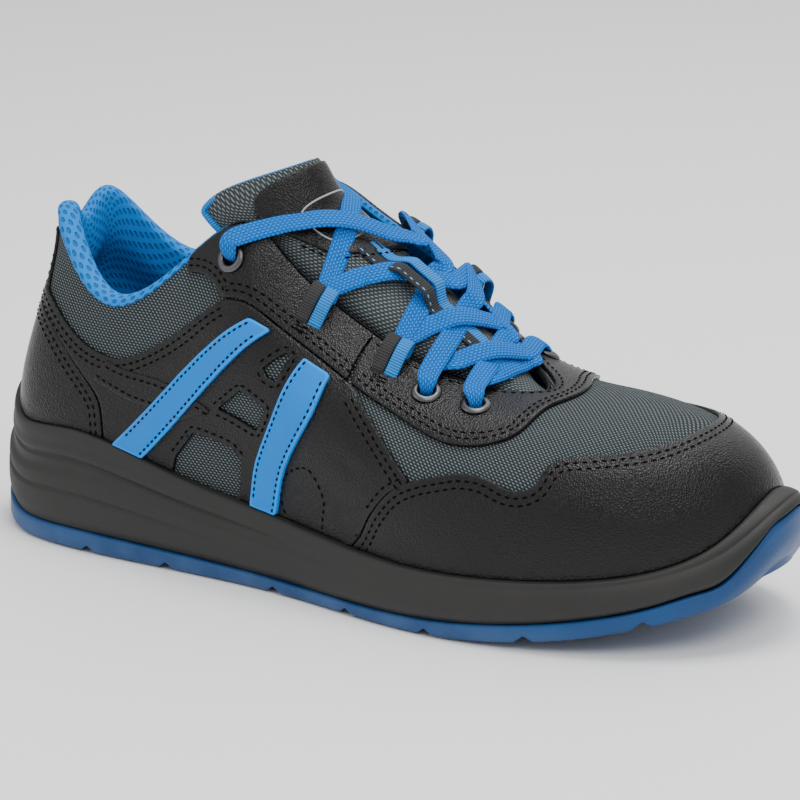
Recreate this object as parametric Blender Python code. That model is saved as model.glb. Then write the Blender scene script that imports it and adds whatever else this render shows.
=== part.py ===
"""Low safety sneaker, right shoe, with a cupped midsole, a lugged outsole and flat laces.

The shoe points along +X with its outer side towards -Y and stands on z = 0.
Every piece of the upper is worked out from one surface, last(row, share): rows run round
the shoe from the back of the heel, out along the outer side to the toe and home along the
inner side, and share runs from the upper's foot (0) to its top edge (1).
"""
import math

import bmesh
import bpy
import numpy as np
from mathutils import Matrix, Vector

# Driving sizes, in metres.
LENGTH = 0.300            # heel to toe over the sole
BALL_WIDTH = 0.110        # sole at the ball of the foot
HEEL_WIDTH = 0.078        # sole at the heel
INSTEP_HEIGHT = 0.121     # floor to the top corner of the outer facing
HEEL_HEIGHT = 0.112       # floor to the heel tab
TOE_SPRING = 0.021        # lift of the tread at the tip of the toe
HEEL_BEVEL = 0.004        # lift of the tread at the back of the heel
FLAT_TREAD = (-0.42, 0.13)    # flat part of the tread, shares of LENGTH

# Thicknesses and clearances.
WALL = 0.0020             # upper, lined
COLLAR_PAD = 0.0070       # padded collar
LEATHER = 0.0012          # overlays
SEAM_GAP = 0.0004         # between pieces laid on one another
SOLE_GAP = 0.0003         # between the moulded parts
CUP_GAP = 0.0005          # between the midsole's cup and the upper
TREAD_PLATE = 0.0040      # outsole between its lugs and the midsole
RIM_LIP = 0.0022          # midsole's rim beyond the upper
BAND_WALL = 0.0030        # raised edge of the outsole
LUG_DEPTH = 0.0030
LUG_GROOVE = 0.0075       # groove between lugs, across its mouth
GROOVE_REACH = 0.024      # groove's length in from the edge
GROOVES = (-0.32, -0.21, -0.06, 0.045, 0.155, 0.270, 0.385)   # along the sole, shares of LENGTH
EDGE_INSET = 0.0008       # top of the raised edge inside the widest line
SIDE_STEP = 0.0017        # step along the midsole's side
TREAD_INSET = 0.0060      # rounding of the tread plate's lower edge
INSOLE = 0.0040
FEATHER_INSET = 0.007     # upper's foot inside the sole's widest line
TONGUE_PAD = 0.0070       # tongue at its top
TONGUE_ROOT = 0.0025      # tongue under the vamp
LACE_WIDTH = 0.0080
LACE_THICK = 0.0018
LACE_LIFT = 0.0072        # middle of the lace above the tongue's ridge
LACE_REACH = 0.0085       # lace's anchor past the middle of its eyelet, towards the foot
LACE_STAND = 0.0036       # lace's anchor above the facing
EYELET_RADIUS = 0.0052
EYELET_HOLE = 0.0026
EYELET_BARREL = 0.0034
LOOP_LENGTH = 0.016       # webbing lace loop, across the facing
LOOP_WIDTH = 0.011        # webbing lace loop, along the facing
WEBBING = 0.0014
TAPE_WIDTH = 0.013        # keeper tape down the tongue

# Mesh steps.
SHARE_STEPS = 9
PANEL_CELL = (0.035, 0.080)   # size of one row and of one full share, for flat patterns
TONGUE_CELL = (0.018, 0.028)  # the same for the tongue: one row, and half its width
TONGUE_STEPS = (0.5, 0.25)

# Rows run from the back of the heel (0) to the tip of the toe (9).
# x: share of LENGTH.  ball: 0 follows the heel sizes, 1 the ball and instep sizes.
# out, in: widest line of the sole on the outer and inner side, shares of the width.
OUTLINE = {
    "x":    (-0.500, -0.455, -0.350, -0.205, -0.060, 0.075, 0.205, 0.345, 0.455, 0.500),
    "ball": (0, 0, 0, 0.25, 0.6, 1, 1, 1, 1, 1),
    "out":  (0.000, 0.345, 0.490, 0.475, 0.455, 0.480, 0.505, 0.425, 0.230, -0.055),
    "in":   (0.000, 0.335, 0.475, 0.405, 0.325, 0.375, 0.465, 0.465, 0.325, 0.055),
}
# Sole heights as shares of INSTEP_HEIGHT.  band: raised edge of the outsole above the tread.
# rim_out, rim_in: top of the midsole on either side.
SOLE_HEIGHTS = {
    "band":    (0.095, 0.066, 0.062, 0.054, 0.042, 0.040, 0.050, 0.052, 0.085, 0.190),
    "rim_out": (0.413, 0.343, 0.351, 0.277, 0.215, 0.182, 0.182, 0.211, 0.289, 0.395),
    "rim_in":  (0.413, 0.350, 0.355, 0.300, 0.262, 0.215, 0.190, 0.211, 0.289, 0.395),
}
# Upper above the feather line.  seat: height of its foot, share of INSTEP_HEIGHT.
# top_x: share of LENGTH; top_y: share of BALL_WIDTH; top_z: share of the height there.
# rise, lean: length (share of INSTEP_HEIGHT) and outward lean in degrees of the wall's foot.
# crown, pitch: length and downward slope of the wall below its top edge.
OUTER = {
    "seat":  (0.25, 0.24, 0.23, 0.20, 0.16, 0.125, 0.115, 0.15, 0.18, 0.21),
    "top_x": (-0.420, -0.413, -0.305, -0.165, -0.080, 0.020, 0.085, 0.150, 0.190, 0.200),
    "top_y": (0.018, -0.105, -0.245, -0.195, -0.180, -0.165, -0.150, -0.095, -0.035, 0.018),
    "top_z": (0.965, 1.005, 0.790, 1.045, 0.930, 0.735, 0.655, 0.605, 0.590, 0.585),
    "rise":  (0.25, 0.25, 0.20, 0.28, 0.26, 0.23, 0.23, 0.26, 0.28, 0.30),
    "lean":  (12, 10, 6, 0, 0, 4, 8, 10, 8, 4),
    "crown": (0.18, 0.18, 0.17, 0.35, 0.33, 0.33, 0.33, 0.39, 0.46, 0.50),
    "pitch": (100, 95, 88, 62, 42, 32, 24, 10, -1, -5),
}
INNER = {
    "seat":  (0.25, 0.24, 0.23, 0.20, 0.16, 0.125, 0.115, 0.15, 0.18, 0.21),
    "top_x": (-0.420, -0.398, -0.300, -0.165, -0.080, 0.020, 0.085, 0.150, 0.190, 0.200),
    "top_y": (0.018, 0.145, 0.275, 0.262, 0.285, 0.262, 0.235, 0.170, 0.085, 0.018),
    "top_z": (0.965, 1.030, 0.830, 1.080, 1.015, 0.860, 0.745, 0.640, 0.597, 0.585),
    "rise":  (0.25, 0.25, 0.20, 0.28, 0.28, 0.28, 0.25, 0.26, 0.28, 0.30),
    "lean":  (12, 10, 6, 0, 0, 4, 8, 10, 8, 4),
    "crown": (0.18, 0.18, 0.17, 0.32, 0.28, 0.27, 0.27, 0.32, 0.43, 0.50),
    "pitch": (100, 95, 88, 64, 50, 43, 35, 20, 3, -5),
}
LAST_ROW = len(OUTLINE["x"]) - 1
ROUND = 2 * LAST_ROW


def around(outer, inner):
    """Join a heel-to-toe column of each side into one loop: out along one side, home on the other."""
    return np.concatenate([np.asarray(outer, float), np.asarray(inner, float)[-2:0:-1]])


def smooth(loop, row):
    """Closed cubic spline through the loop's rows, read at the given row numbers."""
    rows = np.asarray(loop, float)
    count = len(rows)
    eye = np.eye(count)
    matrix = 4 * eye + np.roll(eye, 1, 0) + np.roll(eye, -1, 0)
    bend = np.linalg.solve(matrix, 6 * (np.roll(rows, -1, 0) - 2 * rows + np.roll(rows, 1, 0)))
    row = np.asarray(row, float) % count
    low = np.floor(row).astype(int) % count
    high = (low + 1) % count
    share = row - np.floor(row)
    return (rows[low] * (1 - share) + rows[high] * share
            + bend[low] * ((1 - share) ** 3 - (1 - share)) / 6
            + bend[high] * (share ** 3 - share) / 6)


BALL = np.asarray(OUTLINE["ball"], float)
WIDTH = HEEL_WIDTH + (BALL_WIDTH - HEEL_WIDTH) * BALL
HEIGHT = HEEL_HEIGHT + (INSTEP_HEIGHT - HEEL_HEIGHT) * BALL
LINE_X = LENGTH * around(OUTLINE["x"], OUTLINE["x"])
LINE_Y = around(-WIDTH * OUTLINE["out"], WIDTH * OUTLINE["in"])
# The tables measure sideways from a line along the foot; the shoe stands centred on its sole.
EDGE_Y = smooth(LINE_Y, np.linspace(0, ROUND, 361))
MIDDLE_Y = 0.5 * (EDGE_Y.max() + EDGE_Y.min())
LINE_Y = LINE_Y - MIDDLE_Y


def column(name, scale=1.0):
    """One column of the upper's two tables as a loop, in metres."""
    return around(np.asarray(OUTER[name]) * scale, np.asarray(INNER[name]) * scale)


SEAT = column("seat", INSTEP_HEIGHT)
TOP_X = column("top_x", LENGTH)
TOP_Y = column("top_y", BALL_WIDTH) - MIDDLE_Y
TOP_Z = column("top_z", HEIGHT)
RISE = column("rise", INSTEP_HEIGHT)
CROWN = column("crown", INSTEP_HEIGHT)
LEAN = np.radians(column("lean"))
PITCH = np.radians(column("pitch"))
BAND = INSTEP_HEIGHT * around(SOLE_HEIGHTS["band"], SOLE_HEIGHTS["band"])
RIM = INSTEP_HEIGHT * around(SOLE_HEIGHTS["rim_out"], SOLE_HEIGHTS["rim_in"])


def tread(x):
    """Height of the tread above the floor: flat from heel to ball, with bevel and toe spring."""
    heel, ball = FLAT_TREAD[0] * LENGTH, FLAT_TREAD[1] * LENGTH
    ahead = np.clip((np.asarray(x, float) - ball) / (0.5 * LENGTH - ball), 0, 1.1)
    behind = np.clip((heel - np.asarray(x, float)) / (0.5 * LENGTH + heel), 0, 1.1)
    return TOE_SPRING * ahead ** 2 + HEEL_BEVEL * behind ** 2


def sole_line(row, outset=0.0):
    """Widest line of the sole moved outwards by outset, and its outward direction."""
    row, outset = np.broadcast_arrays(np.asarray(row, float), np.asarray(outset, float))
    step = 1e-3
    point = np.stack([smooth(LINE_X, row), smooth(LINE_Y, row)], -1)
    run = np.stack([smooth(LINE_X, row + step) - smooth(LINE_X, row - step),
                    smooth(LINE_Y, row + step) - smooth(LINE_Y, row - step)], -1)
    run /= np.linalg.norm(run, axis=-1, keepdims=True)
    out = np.stack([run[..., 1], -run[..., 0]], -1)
    return point + out * outset[..., None], out


def last_point(row, share):
    """Cubic Bezier from the upper's foot to its top edge."""
    foot, out = sole_line(row, -FEATHER_INSET)
    foot = np.concatenate([foot, smooth(SEAT, row)[..., None]], -1)
    top = np.stack([smooth(TOP_X, row), smooth(TOP_Y, row), smooth(TOP_Z, row)], -1)
    lean = smooth(LEAN, row)[..., None]
    pitch = smooth(PITCH, row)[..., None]
    rise = np.concatenate([out * np.sin(lean), np.cos(lean)], -1)
    fall = np.concatenate([out * np.cos(pitch), -np.sin(pitch)], -1)
    low = foot + smooth(RISE, row)[..., None] * rise
    high = top + smooth(CROWN, row)[..., None] * fall
    s = share[..., None]
    return (1 - s) ** 3 * foot + 3 * (1 - s) ** 2 * s * low + 3 * (1 - s) * s ** 2 * high + s ** 3 * top


def last_normal(row, share):
    """Outward direction of the upper's surface."""
    along = last_point(row + 2e-3, share) - last_point(row - 2e-3, share)
    up = last_point(row, share + 1e-3) - last_point(row, share - 1e-3)
    normal = np.cross(along, up)
    return normal / np.linalg.norm(normal, axis=-1, keepdims=True)


def last(row, share, off=0.0):
    """Outside of the upper at a row and share of its height, moved out by off."""
    row, share, off = np.broadcast_arrays(
        np.asarray(row, float), np.asarray(share, float), np.asarray(off, float))
    return last_point(row, share) + last_normal(row, share) * off[..., None]


def share_at(row, height):
    """Share of the upper's wall that lies at a height above the floor."""
    steps = np.linspace(0, 0.7, 141)
    heights = last_point(*np.broadcast_arrays(np.asarray(row, float)[:, None], steps[None, :]))[..., 2]
    return np.array([np.interp(h, z, steps) for h, z in zip(height, heights)])


def ease(value, low, high):
    """Smooth step from 0 at low to 1 at high."""
    s = np.clip((np.asarray(value, float) - low) / (high - low), 0, 1)
    return s * s * (3 - 2 * s)


# Materials: name, colour, roughness, metallic.
FINISHES = {
    "leather": ((0.030, 0.028, 0.030), 0.45, 0.0),
    "mesh": ((0.090, 0.110, 0.115), 0.85, 0.0),
    "blue_strap": ((0.010, 0.300, 0.800), 0.50, 0.0),
    "outsole_rubber": ((0.010, 0.100, 0.330), 0.60, 0.0),
    "midsole_foam": ((0.040, 0.038, 0.037), 0.70, 0.0),
    "lace_cord": ((0.020, 0.200, 0.650), 0.80, 0.0),
    "webbing": ((0.020, 0.020, 0.022), 0.80, 0.0),
    "eyelet_metal": ((0.100, 0.100, 0.105), 0.35, 1.0),
    "insole_foam": ((0.030, 0.120, 0.300), 0.90, 0.0),
}


def material(name):
    found = bpy.data.materials.get(name)
    if found:
        return found
    colour, roughness, metallic = FINISHES[name]
    made = bpy.data.materials.new(name)
    made.use_nodes = True
    shader = made.node_tree.nodes["Principled BSDF"]
    shader.inputs["Base Color"].default_value = (*colour, 1)
    shader.inputs["Roughness"].default_value = roughness
    shader.inputs["Metallic"].default_value = metallic
    made.diffuse_color = (*colour, 1)
    return made


def collection(name):
    found = bpy.data.collections.get(name)
    if not found:
        found = bpy.data.collections.new(name)
        bpy.context.scene.collection.children.link(found)
    return found


def place(name, mesh, finish, group="safety_sneaker"):
    """Put a mesh in the scene as a named piece."""
    piece = bpy.data.objects.new(name, mesh)
    if finish:
        mesh.materials.append(material(finish))
    collection(group).objects.link(piece)
    return piece


def mesh_from(name, points, faces):
    """A mesh with its loose doubles merged and its faces pointing out."""
    mesh = bpy.data.meshes.new(name)
    mesh.from_pydata([tuple(p) for p in points], [], faces)
    work = bmesh.new()
    work.from_mesh(mesh)
    bmesh.ops.remove_doubles(work, verts=work.verts, dist=2e-5)
    bmesh.ops.dissolve_degenerate(work, edges=work.edges, dist=2e-5)
    bmesh.ops.recalc_face_normals(work, faces=work.faces)
    bmesh.ops.triangulate(work, faces=work.faces)
    work.to_mesh(mesh)
    work.free()
    return mesh


def ring_faces(rows, points, closed_profile):
    """Quads of a closed round of sections, each with the same number of points."""
    faces = []
    reach = points if closed_profile else points - 1
    for i in range(rows):
        for j in range(reach):
            k = (j + 1) % points
            n = (i + 1) % rows
            faces.append((i * points + j, n * points + j, n * points + k, i * points + k))
    return faces


def ladder_faces(rows, points, j):
    """Strips across the shoe that close a round of sections at profile point j."""
    faces = []
    half = rows // 2
    for i in range(half):
        corners = [i, i + 1, (rows - i - 1) % rows, (rows - i) % rows]
        corners = list(dict.fromkeys(corners))
        faces.append(tuple(c * points + j for c in corners))
    return faces


def ring_solid(name, sections, closed_profile, finish):
    """A solid from sections round the shoe; an open profile is closed across by ladders."""
    rows, points = sections.shape[:2]
    faces = ring_faces(rows, points, closed_profile)
    if not closed_profile:
        faces += ladder_faces(rows, points, 0) + ladder_faces(rows, points, points - 1)
    return place(name, mesh_from(name, sections.reshape(-1, 3), faces), finish)


def lofted(name, sections, finish):
    """A solid from closed sections with a flat cap at both ends."""
    rows, points = sections.shape[:2]
    faces = [(i * points + j, (i + 1) * points + j, (i + 1) * points + (j + 1) % points,
              i * points + (j + 1) % points) for i in range(rows - 1) for j in range(points)]
    faces.append(tuple(range(points)))
    faces.append(tuple((rows - 1) * points + j for j in range(points)))
    return place(name, mesh_from(name, sections.reshape(-1, 3), faces), finish)


def cut(piece, cutter):
    """Take a hidden cutter out of a piece."""
    cutter.hide_render = True
    cutter.display_type = "WIRE"
    step = piece.modifiers.new("cut_" + cutter.name, "BOOLEAN")
    step.operation = "DIFFERENCE"
    step.object = cutter


# Sections of the meshes: close together round the heel and toe, wider along the straighter sides.
HALF_ROWS = np.concatenate([np.arange(0, 3.5, 0.25), np.arange(3.5, 6.5, 0.5), np.arange(6.5, 9.0, 0.25)])
ALL_ROWS = np.concatenate([HALF_ROWS, [LAST_ROW], ROUND - HALF_ROWS[:0:-1]])
SHARE_LINES = np.linspace(0, 1, SHARE_STEPS + 1)


def padding(row, share):
    """Thickness of the upper: its wall, with the padded collar near the top of the heel rows."""
    from_heel = np.minimum(np.asarray(row) % ROUND, ROUND - np.asarray(row) % ROUND)
    pad = (1 - ease(from_heel, 1.9, 3.0)) * ease(share, 0.60, 0.85)
    return WALL + (COLLAR_PAD - WALL) * pad


def make_upper():
    """One hollow wall round the foot, open at the collar and throat and underneath."""
    shares = SHARE_LINES
    back = shares[::-1]
    row = ALL_ROWS[:, None]
    outer = last(row, shares[None, :])
    inner = last(row, back[None, :], -padding(row, back[None, :]))
    rim = 0.5 * (outer[:, -1] + inner[:, 0])
    up = outer[:, -1] - outer[:, -2]
    up /= np.linalg.norm(up, axis=-1, keepdims=True)
    rim = rim + up * 0.4 * padding(ALL_ROWS, np.ones(len(ALL_ROWS)))[:, None]
    sections = np.concatenate([outer, rim[:, None], inner], 1)
    return ring_solid("upper", sections, True, "mesh")


def make_outsole():
    """Blue rubber tread plate with a raised edge, a toe bumper and cut side lugs."""
    def ring(outset, height):
        line, _ = sole_line(ALL_ROWS, outset)
        return np.concatenate([line, height(line[:, 0])[:, None]], -1)
    band = smooth(BAND, ALL_ROWS)
    under = ring(-TREAD_INSET, tread)
    lug = ring(-0.25 * TREAD_INSET, tread)
    side = ring(0.0, lambda x: tread(x) + 0.4 * band)
    top = ring(-EDGE_INSET, lambda x: tread(x) + band)
    inside = ring(-EDGE_INSET - BAND_WALL, lambda x: tread(x) + band)
    floor = ring(-EDGE_INSET - BAND_WALL, lambda x: tread(x) + TREAD_PLATE)
    sections = np.stack([under, lug, side, top, inside, floor], 1)
    sole = ring_solid("outsole", sections, False, "outsole_rubber")
    for side_name, sign in (("outer", -1), ("inner", 1)):
        for number, share in enumerate(GROOVES, 1):
            cut(sole, groove(f"groove_{side_name}_{number}", sign, share * LENGTH))
    return sole


def groove(name, sign, x):
    """V-shaped cutter from the sole's edge inwards, swept back a little."""
    row = np.interp(x, LINE_X[:LAST_ROW + 1], np.arange(LAST_ROW + 1))
    row = row if sign < 0 else ROUND - row
    edge, out = sole_line(np.array([row]), TREAD_PLATE)
    edge, out = edge[0], out[0]
    inward = -out + np.array([-0.25, 0.0])
    inward /= np.linalg.norm(inward)
    along = np.array([-inward[1], inward[0]])
    rings = []
    for reach in (0.0, GROOVE_REACH + TREAD_PLATE):
        centre = edge + inward * reach
        z = float(tread(centre[0]))
        low, half = z - TREAD_PLATE, 0.5 * LUG_GROOVE
        spread = half * (LUG_DEPTH + TREAD_PLATE) / LUG_DEPTH
        rings.append([(*(centre - along * spread), low), (*(centre + along * spread), low),
                      (*centre, z + LUG_DEPTH)])
    rings = np.array(rings)
    faces = [(0, 1, 4, 3), (1, 2, 5, 4), (2, 0, 3, 5), (0, 2, 1), (3, 4, 5)]
    return place(name, mesh_from(name, rings.reshape(-1, 3), faces), None, "cutters")


def make_midsole():
    """Dark foam cup: stepped side outside, the upper's own shape inside."""
    band = tread(sole_line(ALL_ROWS)[0][:, 0]) + smooth(BAND, ALL_ROWS)
    rim = smooth(RIM, ALL_ROWS)
    share = share_at(ALL_ROWS, rim)
    low = band + SOLE_GAP
    height = rim - low

    def ring(outset, z):
        line, _ = sole_line(ALL_ROWS, outset)
        return np.concatenate([line, np.broadcast_to(z, len(ALL_ROWS))[:, None]], -1)
    inner_edge = -EDGE_INSET - BAND_WALL - SOLE_GAP
    plate = tread(sole_line(ALL_ROWS, inner_edge)[0][:, 0]) + TREAD_PLATE + SOLE_GAP
    seat = smooth(SEAT, ALL_ROWS) - SOLE_GAP
    lip = last(ALL_ROWS, share, CUP_GAP + RIM_LIP)
    shoulder = 0.5 * (lip + ring(-EDGE_INSET, low + 0.90 * height)) + np.array([0, 0, 0.5 * RIM_LIP])
    shoulder[:, 2] = np.minimum(shoulder[:, 2], lip[:, 2] - SEAM_GAP)
    foot = last(ALL_ROWS, 0.0, CUP_GAP)
    foot[:, 2] = seat
    sections = np.stack([
        ring(inner_edge, plate),
        ring(inner_edge, low),
        ring(-1.25 * EDGE_INSET, low),
        ring(0.0, low + 0.24 * height),
        ring(-0.4 * EDGE_INSET, low + 0.50 * height),
        ring(-SIDE_STEP, low + 0.59 * height),
        ring(-EDGE_INSET, low + 0.68 * height),
        shoulder,
        lip,
        last(ALL_ROWS, share, CUP_GAP),
        last(ALL_ROWS, 0.5 * share, CUP_GAP),
        foot], 1)
    return ring_solid("midsole", sections, False, "midsole_foam")


def make_insole():
    """Loose footbed on the midsole's floor, inside the upper's wall."""
    gap = WALL + 2 * SOLE_GAP
    low = last(ALL_ROWS, 0.0, -gap)
    low[:, 2] = smooth(SEAT, ALL_ROWS) + SOLE_GAP
    high = low + np.array([0, 0, INSOLE])
    inset = last(ALL_ROWS, 0.0, -gap - 0.4 * INSOLE)
    high[:, :2] = inset[:, :2]
    return ring_solid("insole", np.stack([low, high], 1), False, "insole_foam")


# Tongue, row by row from its root under the vamp (0) to its top edge (9).
# x, z: its middle, shares of LENGTH and INSTEP_HEIGHT.  half_out, half_in: width of either half,
# shares of BALL_WIDTH.
# fall_out, fall_in: drop from the middle to either edge; back_out, back_in: how far the
# edges trail behind the middle; all shares of INSTEP_HEIGHT.
TONGUE = {
    "x":        (0.235, 0.205, 0.175, 0.145, 0.083, 0.020, -0.057, -0.076, -0.090, -0.098),
    "z":        (0.552, 0.560, 0.590, 0.650, 0.765, 0.870, 1.005, 1.075, 1.135, 1.160),
    "half_out": (0.100, 0.075, 0.062, 0.098, 0.155, 0.172, 0.185, 0.178, 0.170, 0.155),
    "half_in":  (0.120, 0.090, 0.090, 0.150, 0.225, 0.260, 0.245, 0.185, 0.170, 0.155),
    "fall_out": (0.010, 0.010, 0.020, 0.050, 0.105, 0.120, 0.118, 0.145, 0.150, 0.130),
    "fall_in":  (0.010, 0.010, 0.015, 0.045, 0.095, 0.130, 0.155, 0.150, 0.125, 0.100),
    "back_out": (0.000, 0.000, 0.000, 0.010, 0.045, 0.065, 0.110, 0.190, 0.230, 0.240),
    "back_in":  (0.000, 0.000, 0.000, 0.008, 0.030, 0.040, 0.060, 0.160, 0.200, 0.210),
}
TONGUE_MIDDLE = 0.018     # share of BALL_WIDTH: the throat lies a little to the inner side
TONGUE_TOP = len(TONGUE["x"]) - 1


def along(values, row):
    """Open Catmull-Rom curve through a column, read at row numbers."""
    values = np.asarray(values, float)
    row = np.clip(np.asarray(row, float), 0, len(values) - 1)
    low = np.minimum(np.floor(row).astype(int), len(values) - 2)
    s = row - low
    p0, p1 = values[np.maximum(low - 1, 0)], values[low]
    p2, p3 = values[low + 1], values[np.minimum(low + 2, len(values) - 1)]
    return 0.5 * (2 * p1 + (p2 - p0) * s + (2 * p0 - 5 * p1 + 4 * p2 - p3) * s ** 2
                  + (3 * p1 - p0 - 3 * p2 + p3) * s ** 3)


def tongue_point(row, across):
    """Quarter ellipses from the middle ridge down to either edge, across from -1 (outer) to 1."""
    read = {name: along(values, row) for name, values in TONGUE.items()}
    outer = across < 0
    angle = (1 - np.abs(across)) * 0.5 * math.pi
    half = np.where(outer, -read["half_out"], read["half_in"])
    fall = INSTEP_HEIGHT * np.where(outer, read["fall_out"], read["fall_in"])
    back = INSTEP_HEIGHT * np.where(outer, read["back_out"], read["back_in"])
    low = 1 - np.sin(angle)
    x = LENGTH * read["x"] - back * low
    y = BALL_WIDTH * (TONGUE_MIDDLE + half * np.cos(angle)) - MIDDLE_Y
    z = INSTEP_HEIGHT * read["z"] - fall * low
    return np.stack([x, y, z], -1)


def tongue(row, across, off=0.0):
    """Outside of the tongue, moved out by off."""
    row, across, off = np.broadcast_arrays(
        np.asarray(row, float), np.asarray(across, float), np.asarray(off, float))
    inside = np.clip(row, 0.01, TONGUE_TOP - 0.01)
    step = tongue_point(inside + 0.01, across) - tongue_point(inside - 0.01, across)
    side = np.clip(across, -0.97, 0.97)
    sweep = tongue_point(row, side + 0.02) - tongue_point(row, side - 0.02)
    normal = np.cross(sweep, step)
    normal /= np.linalg.norm(normal, axis=-1, keepdims=True)
    return tongue_point(row, across) + normal * off[..., None]


def make_tongue():
    """Padded tongue from under the vamp up through the throat."""
    rows = np.arange(0, TONGUE_TOP + 0.01, TONGUE_STEPS[0])[:, None]
    across = np.arange(-1, 1.01, TONGUE_STEPS[1])[None, :]
    thick = TONGUE_ROOT + (TONGUE_PAD - TONGUE_ROOT) * ease(rows, 2.5, 6.5)
    outer = tongue(rows, across)
    inner = tongue(rows, across[:, ::-1] * 0.96, -thick)
    return lofted("tongue", np.concatenate([outer, inner], 1), "mesh")


def rounded(*runs):
    """Outline through runs of points: smooth within a run, a corner where two runs meet."""
    line = []
    for run in runs:
        run = np.asarray(run, float)
        if len(run) == 2:
            line.append(run[:1])
            continue
        steps = np.arange(0, len(run) - 1, 0.5)
        line.append(np.stack([along(run[:, 0], steps), along(run[:, 1], steps)], -1))
    return np.concatenate(line)


def rim_share(rows, mirrored=False):
    """Share of the wall just above the midsole's rim."""
    rows = np.asarray(rows, float)
    rows = ROUND - rows if mirrored else rows
    return share_at(rows, smooth(RIM, rows)) + RIM_CLEAR


def row_lines(start, end):
    """The meshes' section rows between two row numbers, which may lie before 0."""
    lines = np.concatenate([ALL_ROWS - ROUND, ALL_ROWS])
    return lines[(lines > start) & (lines < end)]


def rim_run(start, end, mirrored=False):
    """Points just above the midsole's rim from one row to another."""
    grid = row_lines(start, end)
    grid = grid[(grid - start > 0.06) & (end - grid > 0.06)]
    rows = np.concatenate([[start], grid, [end]])
    return np.stack([rows, rim_share(rows, mirrored)], -1)


def panel(name, outline, holes, lift, thick, finish, mirrored=False, on_tongue=False):
    """A flat pattern with holes, laid on a curved surface and given its thickness outwards.

    The pattern is filled, cut along the surface's own section lines, and rid of every other edge.
    """
    surface, cell = (tongue, TONGUE_CELL) if on_tongue else (last, PANEL_CELL)
    if on_tongue:
        lines = [np.arange(0, TONGUE_TOP, TONGUE_STEPS[0]), np.arange(-1, 1, TONGUE_STEPS[1])]
    else:
        lines = [row_lines(-LAST_ROW, ROUND), SHARE_LINES]
    work = bmesh.new()
    for loop in (outline, *holes):
        corners = [work.verts.new((u * cell[0], v * cell[1], 0)) for u, v in loop]
        for one, two in zip(corners, corners[1:] + corners[:1]):
            work.edges.new((one, two))
    bmesh.ops.triangle_fill(work, use_beauty=True, edges=work.edges[:])
    for axis in (0, 1):
        for line in lines[axis] * cell[axis]:
            point, direction = Vector(), Vector()
            point[axis] = line
            direction[axis] = 1
            bmesh.ops.bisect_plane(work, geom=work.verts[:] + work.edges[:] + work.faces[:],
                                   plane_co=point, plane_no=direction, dist=1e-5)

    def on_line(edge):
        one, two = (v.co for v in edge.verts)
        return any(abs(one[axis] - two[axis]) < 2e-5
                   and np.abs(lines[axis] * cell[axis] - one[axis]).min() < 2e-5 for axis in (0, 1))
    loose = [e for e in work.edges if len(e.link_faces) == 2 and not on_line(e)]
    bmesh.ops.dissolve_edges(work, edges=loose, use_verts=True)
    bmesh.ops.remove_doubles(work, verts=work.verts, dist=4e-4)
    bmesh.ops.triangulate(work, faces=work.faces)
    flat = np.array([v.co[:] for v in work.verts])
    u, v = flat[:, 0] / cell[0], flat[:, 1] / cell[1]
    u = ROUND - u if mirrored else u
    count = len(flat)
    points = np.concatenate([surface(u, v, lift), surface(u, v, lift + thick)])
    work.verts.index_update()
    skin = [[v.index for v in f.verts] for f in work.faces]
    edge = [[v.index for v in e.verts] for e in work.edges if len(e.link_faces) == 1]
    work.free()
    faces = skin + [[i + count for i in f] for f in skin]
    faces += [[a, b, b + count, a + count] for a, b in edge]
    return place(name, mesh_from(name, points, faces), finish)


# Flat patterns of the overlays, as (row, share) points.
TOE_SEAM = [(4.86, 0.14), (5.08, 0.27), (5.40, 0.40), (5.75, 0.48), (6.16, 0.53), (6.38, 0.545),
            (6.57, 0.53), (6.70, 0.48), (6.82, 0.47), (6.97, 0.49), (7.15, 0.55), (7.37, 0.60),
            (7.63, 0.60), (8.23, 0.57), (8.72, 0.57), (9.00, 0.57)]
TOE_SEAM_FOOT = 4.75
COUNTER_SEAM = [(2.11, 0.39), (1.87, 0.51), (1.49, 0.57), (0.93, 0.575), (0.00, 0.59)]
COUNTER_FOOT = 2.23
COLLAR_SEAM = [(3.24, 0.755), (2.82, 0.700), (2.46, 0.680), (2.17, 0.670), (1.95, 0.685),
               (1.51, 0.665), (0.84, 0.640), (0.02, 0.650)]
FACING_SEAM = [(5.04, 0.800), (5.40, 0.785), (5.72, 0.765), (6.07, 0.725), (6.35, 0.690),
               (6.70, 0.690), (7.14, 0.740), (7.50, 0.820), (7.90, 0.885), (8.40, 0.915), (9.00, 0.925)]
FACING_TOP = 0.985
RIM_CLEAR = 0.007         # from the midsole's rim to the overlays, as a share of the wall
SMALL_WINDOW = [(3.95, 0.62), (4.26, 0.745), (4.32, 0.74), (4.14, 0.60), (4.00, 0.595)]
MIDDLE_WINDOW = [(3.34, 0.38), (3.64, 0.49), (3.97, 0.475), (3.81, 0.36)]
LOWER_WINDOW = [(2.95, 0.165), (3.11, 0.275), (3.51, 0.26), (3.61, 0.23)]
LOWER_WINDOW_ROWS = (2.93, 3.57)
REAR_STRAP = [(4.02, 0.765), (3.72, 0.745), (2.91, 0.50)]
REAR_STRAP_FOOT = (2.38, 2.66)
REAR_STRAP_BACK = [(3.21, 0.45), (4.02, 0.765)]
FRONT_STRAP = [(4.78, 0.770), (4.48, 0.765), (4.14, 0.51), (3.80, 0.26)]
FRONT_STRAP_FOOT = (3.69, 3.93)
FRONT_STRAP_BACK = [(4.10, 0.28), (4.59, 0.58), (4.78, 0.770)]
EYELETS = ((6.83, 0.880), (6.14, 0.890), (3.24, 0.890))
LACE_LOOPS = ((5.42, 0.965), (4.40, 0.955))


def other_side(points):
    """The same points on the inner side, in reverse order."""
    return [(ROUND - row, share) for row, share in points[::-1]]


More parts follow.
